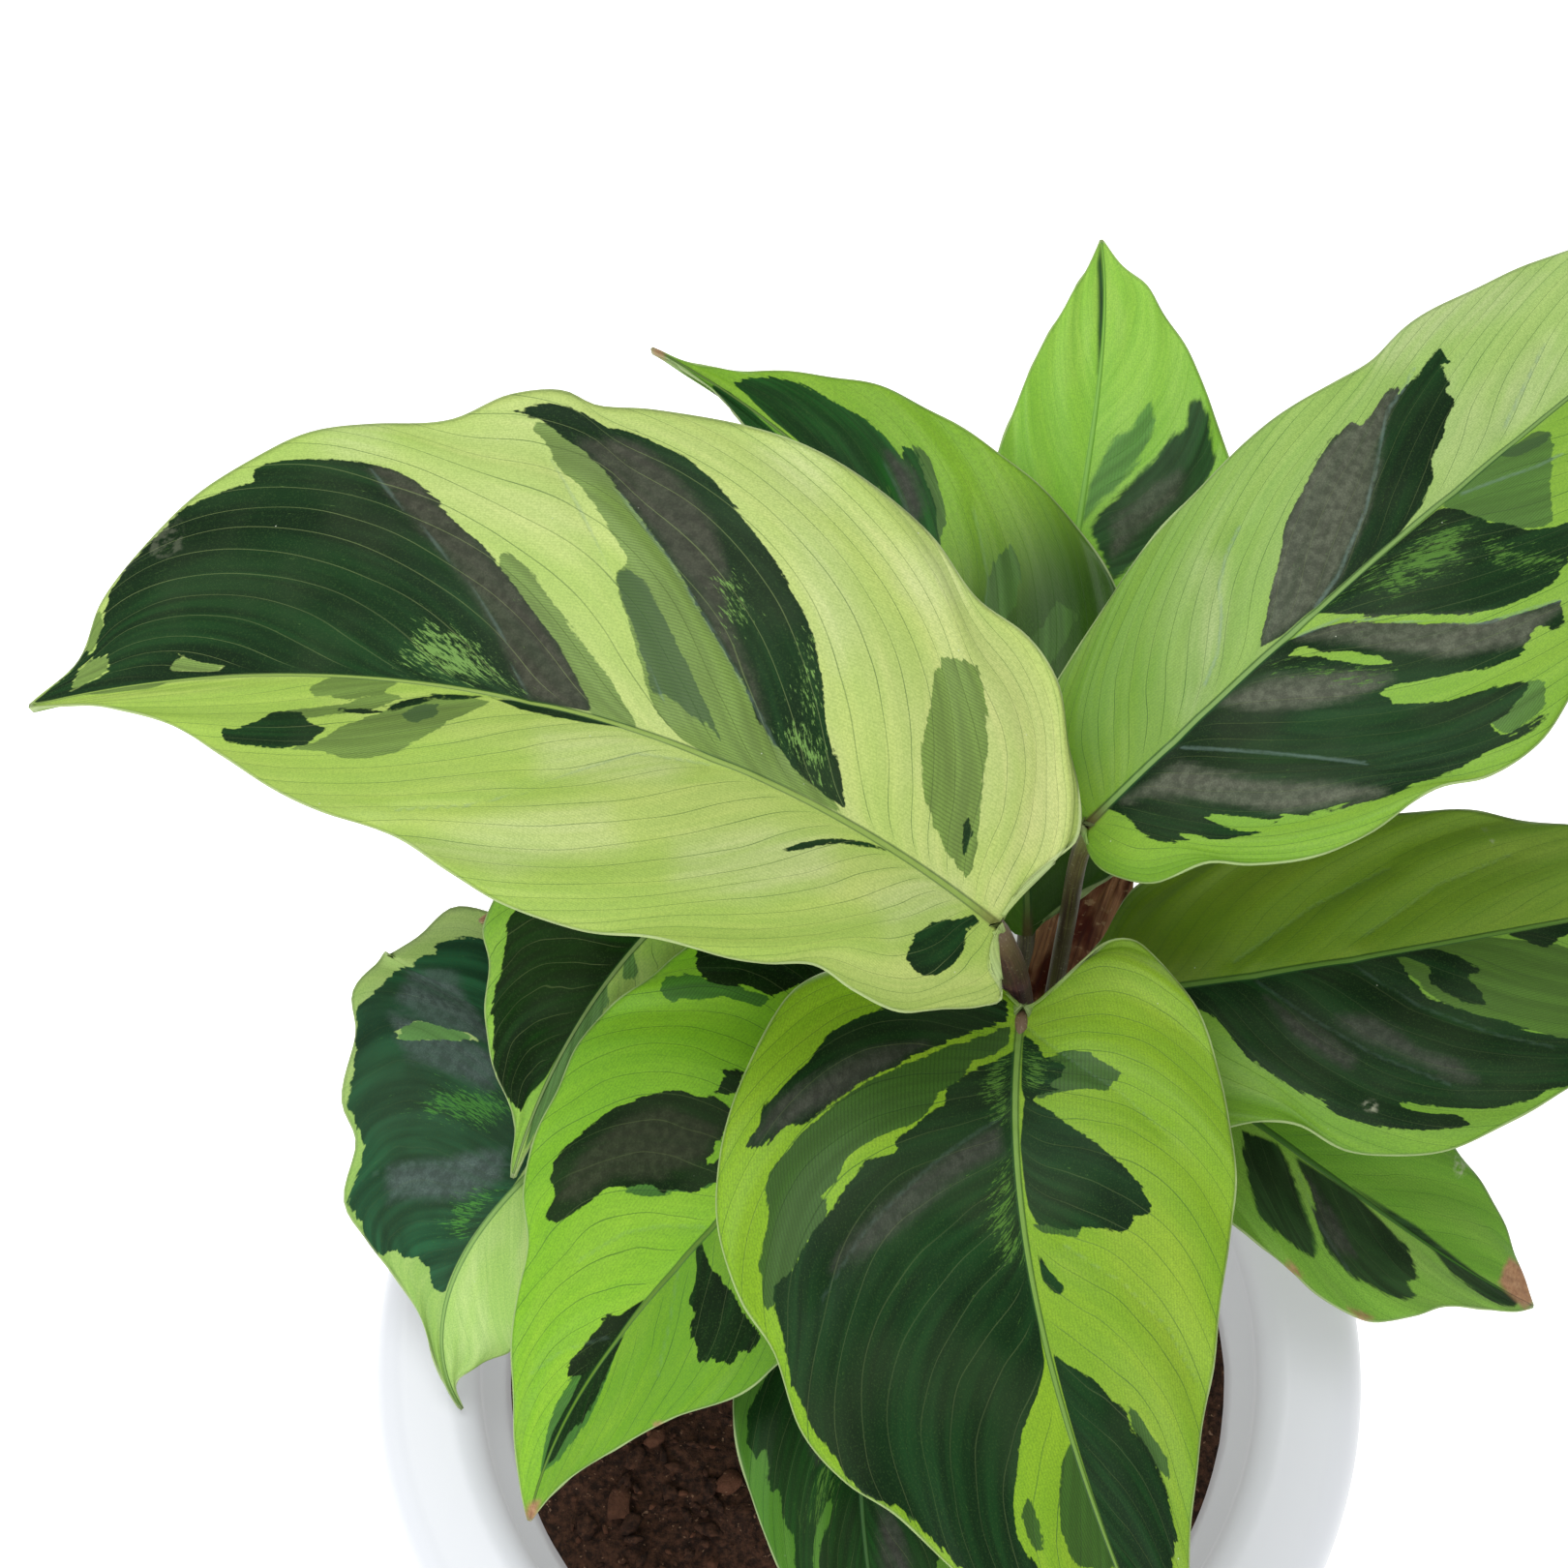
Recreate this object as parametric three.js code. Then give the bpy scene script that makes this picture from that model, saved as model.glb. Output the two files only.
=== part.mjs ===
// Potted prayer plant with variegated leaves, in millimetres, +Z up.
// The origin is the centre of the pot's flat base, and -Y is the side seen in front.
import * as THREE from 'three';
import { mergeVertices } from 'three/addons/utils/BufferGeometryUtils.js';

const POT = {
  height: 190,
  rimRadius: 117,
  baseRadius: 84,
  baseChamfer: 4,
  mouthRadius: 92,
  soilLineRadius: 86,
  innerBaseRadius: 69,
  floor: 9,
  rimRound: 8,
  rimSteps: 4,
  flankTilt: -8,
  segments: 48,
};
const SOIL_LEVEL = 172;
const SOIL_SHOULDER = SOIL_LEVEL - 4;
const SEAT_GAP = 0.3;

const BLADE_THICKNESS = 1.0;
const BLADE_STEPS_ALONG = 16;
const BLADE_STEPS_ACROSS = 6;
const TIP_WIDTH = 0.8;
const JOINT_WIDTH = 2.4;
const CURL_SPAN = 50;
const MIDRIB_STRIDES = 48;
const MARGIN_DIVISIONS = 400;
const NORMAL_NUDGE = 0.5;

const PETIOLE_RADIUS = 2.1;
const PETIOLE_ARC_STEPS = 4;
const PETIOLE_STEPS = 14;
const PETIOLE_FOOTING = 8;
const PETIOLE_SEAT_GAP = 0.5;
const PULVINUS_LENGTH = 6;
const PULVINUS_DIP = 1.2;

// A blade is drawn flat first: x runs along the midrib from the petiole joint, y across it,
// left positive. Each margin list runs from the joint round the base lobe to the tip.
// heading and pitch, in degrees, are given at the joint, the middle and the tip;
// fold lifts the left and right halves off the midrib, and curl droops them towards the margin.
const LEAVES = [
  {
    joint: [25, 54, 318], length: 234, sweep: 2.0,
    heading: [146, 165, 178], pitch: [22, -6, -30], roll: [0, 0], fold: [18, 14], curl: [10, 8],
    left: [[-1, 5], [-3, 10], [-9, 14], [-6, 19], [0, 25], [9, 33], [20, 35], [30, 35], [40, 41],
      [50, 45], [66, 48], [80, 52], [98, 52], [112, 48], [128, 41], [145, 38], [160, 32],
      [175, 23], [190, 14], [212, 5]],
    right: [[1, -8], [-1, -20], [-2, -25], [3, -34], [10, -41], [18, -50], [27, -55], [38, -57],
      [50, -65], [60, -69], [75, -72], [90, -73], [105, -71], [115, -69], [122, -71], [131, -68],
      [141, -61], [157, -59], [170, -56], [180, -51], [195, -41], [206, -31], [214, -20], [220, -8]],
  },
  {
    joint: [46, 85, 300], length: 244, sweep: 2.0,
    heading: [40, 42, 46], pitch: [25, -2, -25], roll: [-8, -4], fold: [6, 6], curl: [8, 8],
    left: [[-5, 5], [-8, 13], [-4, 21], [6, 26], [17, 29], [35, 34], [50, 37], [70, 40], [95, 41],
      [112, 38], [123, 37], [137, 38], [160, 34], [185, 29], [205, 21], [226, 9]],
    right: [[-3, -4], [-4, -9], [-2, -15], [3, -22], [14, -27], [20, -34], [30, -42], [42, -47],
      [58, -50], [67, -55], [80, -57], [95, -53], [115, -48], [145, -41], [175, -31], [205, -19],
      [226, -9]],
  },
  {
    joint: [32, 48, 285], length: 168, sweep: 2.0,
    heading: [-100, -74, -58], pitch: [10, -20, -45], roll: [0, 0], fold: [10, 10], curl: [12, 12],
    left: [[-4, 5], [-14, 12], [-20, 17], [-21, 22], [-17, 28], [-10, 34], [0, 40], [14, 44],
      [30, 46], [45, 46], [60, 43], [75, 38], [90, 33], [105, 26], [120, 19], [135, 13], [152, 6]],
    right: [[-4, -5], [-7, -14], [-7, -26], [-3, -38], [4, -49], [15, -56], [25, -61], [35, -64],
      [45, -65], [57, -62], [66, -57], [80, -55], [90, -49], [98, -41], [110, -34], [125, -25],
      [140, -16], [155, -8]],
  },
  {
    joint: [-3, 47, 268], length: 139, sweep: 2.0,
    heading: [-119, -136, -107], pitch: [0, -28, -50], roll: [0, 0], fold: [10, 6], curl: [8, 8],
    left: [[-6, 4], [-11, 10], [-10, 20], [-2, 30], [15, 36], [35, 38], [50, 36], [62, 33],
      [70, 32], [78, 29], [90, 22], [101, 17], [112, 12], [124, 6]],
    right: [[-6, -4], [-13, -13], [-16, -27], [-10, -41], [4, -46], [18, -48], [32, -51],
      [44, -51], [56, -47], [66, -44], [77, -38], [84, -29], [94, -24], [105, -18], [118, -10]],
  },
  {
    joint: [7, 32, 238], length: 150, sweep: 2.0,
    heading: [-107, -88, -65], pitch: [4, -12, -26], roll: [0, 0], fold: [8, 8], curl: [8, 8],
    left: [[-6, 5], [-8, 14], [2, 23], [20, 28], [45, 31], [70, 30], [95, 25], [118, 16], [136, 7]],
    right: [[-6, -5], [-8, -14], [2, -22], [20, -26], [45, -28], [65, -28], [80, -24], [95, -19],
      [112, -12], [132, -5]],
  },
  {
    joint: [-35, 91, 262], length: 88, sweep: 1.8,
    heading: [-142, -126, -112], pitch: [0, -22, -45], roll: [0, 0], fold: [8, 8], curl: [8, 8],
    left: [[-5, 5], [-6, 13], [4, 19], [22, 20], [40, 15], [55, 9], [70, 4]],
    right: [[-5, -6], [-6, -16], [4, -27], [18, -32], [35, -33], [42, -31], [47, -25], [58, -19],
      [67, -11], [74, -4]],
  },
  {
    joint: [-60, 54, 228], length: 96, sweep: 2.0,
    heading: [-118, -127, -45], pitch: [0, -20, -62], roll: [0, 0], fold: [8, 8], curl: [8, 8],
    left: [[-6, 5], [-8, 14], [2, 25], [20, 30], [42, 27], [58, 22], [72, 18], [80, 15], [84, 8],
      [87, 2]],
    right: [[-6, -6], [-14, -20], [-21, -38], [-19, -53], [-8, -57], [2, -61], [15, -62], [28, -61],
      [34, -53], [44, -45], [48, -36], [56, -31], [60, -22], [64, -13], [71, -5], [80, -2]],
  },
  {
    joint: [46, 149, 250], length: 112, sweep: 2.0,
    heading: [85, 81, 93], pitch: [35, 12, -10], roll: [0, 0], fold: [8, 8], curl: [8, 8],
    left: [[-6, 5], [-9, 13], [-2, 22], [15, 26], [32, 25], [47, 22], [62, 19], [77, 15], [92, 9],
      [103, 4]],
    right: [[-6, -5], [-10, -15], [-4, -27], [12, -35], [32, -37], [46, -36], [57, -32], [67, -27],
      [79, -21], [90, -14], [97, -10], [104, -4]],
  },
  {
    joint: [53, 63, 255], length: 185, sweep: 2.0,
    heading: [1, 13, 20], pitch: [18, -5, -25], roll: [0, 0], fold: [8, 8], curl: [10, 10],
    left: [[-4, 3], [-4, 9], [1, 15], [9, 24], [20, 28], [40, 32], [60, 33], [77, 32], [95, 29],
      [112, 23], [132, 18], [152, 12], [170, 6]],
    right: [[-6, -3], [-10, -12], [-7, -24], [3, -32], [16, -36], [30, -36], [38, -38], [46, -45],
      [55, -48], [66, -49], [80, -45], [96, -39], [116, -34], [140, -25], [163, -12]],
  },
  {
    joint: [61, 60, 230], length: 119, sweep: 2.0,
    heading: [-30, -31, -9], pitch: [5, -20, -40], roll: [0, 0], fold: [8, 8], curl: [8, 8],
    left: [[-6, 5], [-8, 14], [2, 24], [22, 30], [45, 31], [62, 28], [78, 24], [90, 20],
      [100, 16], [110, 9]],
    right: [[-6, -5], [-8, -13], [2, -21], [18, -25], [38, -25], [52, -25], [65, -27], [77, -25],
      [86, -18], [92, -12], [103, -7], [112, -4]],
  },
  {
    joint: [36, 80, 250], length: 187, sweep: 2.0,
    heading: [88, 124, 136], pitch: [31, 4.5, -24], roll: [0, 0], fold: [8, 8], curl: [8, 8],
    left: [[0.5, 3], [4, 6], [10, 11], [20, 17], [32, 23], [46, 29], [62, 32], [87, 30],
      [113, 20.5], [133, 10.5], [151, 4], [168, 1.3]],
    right: [[3, -3], [6, -6.5], [9.5, -12], [13, -20], [20, -28], [38, -34], [58, -38], [77, -39],
      [91, -35], [108, -30], [122, -27], [136, -19.5], [151, -12.5], [161, -6], [173, -1.6]],
  },
  {
    joint: [-29, 108, 252], length: 68, sweep: 1.6,
    heading: [190, 203, 182], pitch: [5, -10, -30], roll: [0, 0], fold: [8, 8], curl: [8, 8],
    left: [[-3, 3], [-4, 8], [4, 13], [18, 14], [34, 12], [50, 7]],
    right: [[-3, -3], [-4, -8], [4, -13], [18, -15], [34, -13], [50, -7]],
  },
];

// Dried sheaths left on the clump by old leaves: narrow, steep and curled like a gutter.
const DRY_SHEATHS = [
  {
    joint: [45, 72, 172.4], length: 92, sweep: 1.3,
    heading: [74, 66, 58], pitch: [80, 68, 50], roll: [0, 10], fold: [8, 30], curl: [-10, -70],
    left: [[0, 3], [8, 5], [20, 7], [36, 12], [58, 15], [78, 9]],
    right: [[0, -4], [8, -8], [30, -11], [55, -12], [78, -8]],
  },
  {
    joint: [63, 50, 172.4], length: 62, sweep: 1.3,
    heading: [100, 92, 80], pitch: [74, 56, 36], roll: [0, -10], fold: [30, 30], curl: [-70, -70],
    left: [[0, 4], [8, 7], [22, 9], [36, 8], [46, 4]],
    right: [[0, -4], [8, -7], [22, -10], [36, -8], [46, -4]],
  },
];

// Where each petiole leaves the soil, and a point that it bows through on its way up.
const PETIOLES = [
  { foot: [32, 57], bow: [35, 58, 262] },
  { foot: [42, 65], bow: [45, 82, 250] },
  { foot: [36, 47], bow: [34, 48, 240] },
  { foot: [-12, 34], bow: [-9, 42, 225] },
  { foot: [-6, 25], bow: [0, 28, 210] },
  { foot: [-19, 40], bow: [-27, 66, 225] },
  { foot: [-24, 27], bow: [-40, 38, 212] },
  { foot: [36, 76], bow: [40, 104, 225] },
  { foot: [48, 57], bow: [51, 60, 215] },
  { foot: [47, 46], bow: [57, 53, 205] },
  { foot: [32, 67], bow: [34, 73, 222] },
  { foot: [-10, 45], bow: [-18, 75, 215] },
];

const radians = THREE.MathUtils.degToRad;

function material(color, roughness) {
  return new THREE.MeshStandardMaterial({ color, roughness, metalness: 0 });
}

const WHITE_GLAZE = material(0xf2f3f3, 0.35);
const SOIL_BROWN = material(0x33241a, 0.95);
const BLADE_GREEN = material(0x86b53c, 0.45);
const PETIOLE_BROWN = material(0x5a4a2c, 0.5);
const DRY_BROWN = material(0x8a5a3c, 0.85);

// Value at fraction u of a quadratic through three equally spaced values.
function throughThree([start, middle, end], u) {
  return start * (1 - u) * (1 - 2 * u) + 4 * middle * u * (1 - u) + end * u * (2 * u - 1);
}

function midribDirection(leaf, x) {
  const u = THREE.MathUtils.clamp(x / leaf.length, 0, 1);
  const heading = radians(throughThree(leaf.heading, u));
  const pitch = radians(throughThree(leaf.pitch, u));
  return new THREE.Vector3(
    Math.cos(pitch) * Math.cos(heading),
    Math.cos(pitch) * Math.sin(heading),
    Math.sin(pitch),
  );
}

// Walks along the midrib from the joint and returns the point x millimetres on.
function midribPoint(leaf, x) {
  const stride = x / MIDRIB_STRIDES;
  const point = new THREE.Vector3(...leaf.joint);
  for (let i = 0; i < MIDRIB_STRIDES; i += 1) {
    point.addScaledVector(midribDirection(leaf, (i + 0.5) * stride), stride);
  }
  return point;
}

// The blade's directions along, across (to the left) and up, at x on the midrib.
function bladeAxes(leaf, x) {
  const u = THREE.MathUtils.clamp(x / leaf.length, 0, 1);
  const heading = radians(throughThree(leaf.heading, u));
  const along = midribDirection(leaf, x);
  const across = new THREE.Vector3(-Math.sin(heading), Math.cos(heading), 0);
  const up = along.clone().cross(across);
  const roll = radians(THREE.MathUtils.lerp(leaf.roll[0], leaf.roll[1], u));
  const rolledAcross = across.clone().multiplyScalar(Math.cos(roll)).addScaledVector(up, Math.sin(roll));
  const rolledUp = up.multiplyScalar(Math.cos(roll)).addScaledVector(across, -Math.sin(roll));
  return { along, across: rolledAcross, up: rolledUp };
}

// The flat point (x, y) laid on the folded, curled blade.
function bladePoint(leaf, x, y) {
  const { across, up } = bladeAxes(leaf, x);
  const side = y < 0 ? 1 : 0;
  const fold = radians(leaf.fold[side]);
  const turn = radians(leaf.curl[side]) / CURL_SPAN;
  const reach = Math.abs(y);
  const outward = (Math.sin(fold) - Math.sin(fold - turn * reach)) / turn;
  const lift = (Math.cos(fold - turn * reach) - Math.cos(fold)) / turn;
  return midribPoint(leaf, x)
    .addScaledVector(across, Math.sign(y) * outward)
    .addScaledVector(up, lift);
}

function marginCurve(leaf, points, sign) {
  const start = [0, sign * JOINT_WIDTH / 2];
  const end = [leaf.length, sign * TIP_WIDTH / 2];
  const vectors = [start, ...points, end].map(([x, y]) => new THREE.Vector3(x, y, 0));
  const curve = new THREE.CatmullRomCurve3(vectors, false, 'centripetal');
  curve.arcLengthDivisions = MARGIN_DIVISIONS;
  return curve;
}

// A thin box bent into the blade: its length follows the margins from joint to tip,
// its width runs along the side veins, and its thickness is the blade's.
function bladeGeometry(leaf) {
  const { length, sweep } = leaf;
  const margins = [marginCurve(leaf, leaf.left, 1), marginCurve(leaf, leaf.right, -1)];
  const flatPoint = (along, across) => {
    const margin = margins[across < 0 ? 1 : 0].getPointAt(along);
    const foot = length * along ** sweep;
    const share = Math.abs(across);
    return [THREE.MathUtils.lerp(foot, margin.x, share), margin.y * share];
  };
  const geometry = new THREE.BoxGeometry(2, 1, 1, BLADE_STEPS_ACROSS, BLADE_STEPS_ALONG, 1);
  const positions = geometry.attributes.position;
  for (let i = 0; i < positions.count; i += 1) {
    const across = positions.getX(i);
    const along = positions.getY(i) + 0.5;
    const face = positions.getZ(i) > 0 ? 1 : -1;
    const [x, y] = flatPoint(along, across);
    const side = y < 0 ? -1 : 1;
    const here = bladePoint(leaf, x, y);
    const ahead = bladePoint(leaf, x + NORMAL_NUDGE, y).sub(here);
    const beside = bladePoint(leaf, x, y + NORMAL_NUDGE * side).sub(here);
    const normal = ahead.cross(beside).multiplyScalar(side).normalize();
    here.addScaledVector(normal, face * BLADE_THICKNESS / 2);
    positions.setXYZ(i, here.x, here.y, here.z);
  }
  return closed(geometry, -1);
}

// Merges shared corners and, for turn -1, swaps each face's winding.
function closed(geometry, turn = 1) {
  const bare = geometry.clone();
  bare.deleteAttribute('normal');
  bare.deleteAttribute('uv');
  const merged = mergeVertices(bare, 1e-4);
  if (turn < 0) {
    const index = merged.index.array;
    for (let i = 0; i < index.length; i += 3) {
      [index[i + 1], index[i + 2]] = [index[i + 2], index[i + 1]];
    }
  }
  merged.computeVertexNormals();
  return merged;
}

// A petiole rises straight from the soil, bows, and ends under the midrib just past the joint.
function petioleGeometry(leaf, { foot, bow }) {
  const drop = BLADE_THICKNESS / 2 + PETIOLE_SEAT_GAP + PETIOLE_RADIUS;
  const under = (x, depth) => bladePoint(leaf, x, 0).addScaledVector(bladeAxes(leaf, x).up, -depth);
  const floor = SOIL_LEVEL + SEAT_GAP;
  const path = new THREE.CatmullRomCurve3([
    new THREE.Vector3(foot[0], foot[1], floor),
    new THREE.Vector3(foot[0], foot[1], floor + PETIOLE_FOOTING),
    new THREE.Vector3(...bow),
    under(0, drop + PULVINUS_DIP),
    under(PULVINUS_LENGTH, drop),
  ], false, 'centripetal');
  const section = new THREE.Shape();
  section.absarc(0, 0, PETIOLE_RADIUS, 0, 2 * Math.PI);
  const tube = new THREE.ExtrudeGeometry(section, {
    extrudePath: path,
    steps: PETIOLE_STEPS,
    curveSegments: PETIOLE_ARC_STEPS,
    bevelEnabled: false,
  });
  return closed(tube);
}

function latheGeometry(profile) {
  const points = profile.map(([r, z]) => new THREE.Vector2(r, z));
  const geometry = new THREE.LatheGeometry(points, POT.segments);
  geometry.rotateX(Math.PI / 2);
  return closed(geometry);
}

// Round corner points from one angle to another, in degrees, about a centre.
function arc(r, z, radius, from, to, steps) {
  return Array.from({ length: steps + 1 }, (unused, i) => {
    const angle = radians(THREE.MathUtils.lerp(from, to, i / steps));
    return [r + radius * Math.cos(angle), z + radius * Math.sin(angle)];
  });
}

function potGeometry() {
  const { height, rimRadius, baseRadius, baseChamfer, mouthRadius, rimRound, rimSteps } = POT;
  const top = height - rimRound;
  return latheGeometry([
    [0, 0],
    [baseRadius - baseChamfer, 0],
    [baseRadius, baseChamfer],
    ...arc(rimRadius - rimRound, top, rimRound, POT.flankTilt, 90, rimSteps),
    ...arc(mouthRadius + rimRound, top, rimRound, 90, 180, rimSteps),
    [POT.soilLineRadius, SOIL_SHOULDER],
    [POT.innerBaseRadius, POT.floor],
    [0, POT.floor],
  ]);
}

function soilGeometry() {
  const bottom = POT.floor + SEAT_GAP;
  const wallSlope = (POT.soilLineRadius - POT.innerBaseRadius) / (SOIL_SHOULDER - POT.floor);
  const wallRadius = (z) => POT.innerBaseRadius + wallSlope * (z - POT.floor);
  return latheGeometry([
    [0, bottom],
    [wallRadius(bottom) - SEAT_GAP, bottom],
    [wallRadius(SOIL_SHOULDER) - SEAT_GAP, SOIL_SHOULDER],
    [wallRadius(SOIL_SHOULDER) - SEAT_GAP, SOIL_LEVEL],
    [0, SOIL_LEVEL],
  ]);
}

function named(name, geometry, finish) {
  const mesh = new THREE.Mesh(geometry, finish);
  mesh.name = name;
  return mesh;
}

const plant = new THREE.Group();
plant.add(named('pot', potGeometry(), WHITE_GLAZE));
plant.add(named('soil', soilGeometry(), SOIL_BROWN));
LEAVES.forEach((leaf, i) => {
  const number = String(i + 1).padStart(2, '0');
  plant.add(named(`leaf_${number}`, bladeGeometry(leaf), BLADE_GREEN));
  plant.add(named(`petiole_${number}`, petioleGeometry(leaf, PETIOLES[i]), PETIOLE_BROWN));
});
DRY_SHEATHS.forEach((sheath, i) => {
  plant.add(named(`dry_sheath_${i + 1}`, bladeGeometry(sheath), DRY_BROWN));
});

export default plant;
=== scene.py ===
"""A potted prayer plant with variegated leaves, seen from above its front."""

import math

import bmesh
import bpy
import numpy as np
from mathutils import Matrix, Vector, noise


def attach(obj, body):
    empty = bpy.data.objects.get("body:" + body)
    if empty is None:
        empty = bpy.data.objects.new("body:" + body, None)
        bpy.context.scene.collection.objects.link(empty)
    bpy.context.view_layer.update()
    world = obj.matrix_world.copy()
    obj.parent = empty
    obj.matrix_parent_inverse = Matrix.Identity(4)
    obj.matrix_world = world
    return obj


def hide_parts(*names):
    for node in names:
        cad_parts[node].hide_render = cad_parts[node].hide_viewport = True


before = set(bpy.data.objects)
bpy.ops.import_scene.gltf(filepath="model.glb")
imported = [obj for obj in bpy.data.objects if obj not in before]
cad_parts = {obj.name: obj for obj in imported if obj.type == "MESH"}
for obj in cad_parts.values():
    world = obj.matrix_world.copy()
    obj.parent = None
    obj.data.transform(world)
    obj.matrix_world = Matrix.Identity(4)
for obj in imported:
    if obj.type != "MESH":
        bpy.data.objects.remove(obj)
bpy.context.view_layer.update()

MM = 0.001

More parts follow.
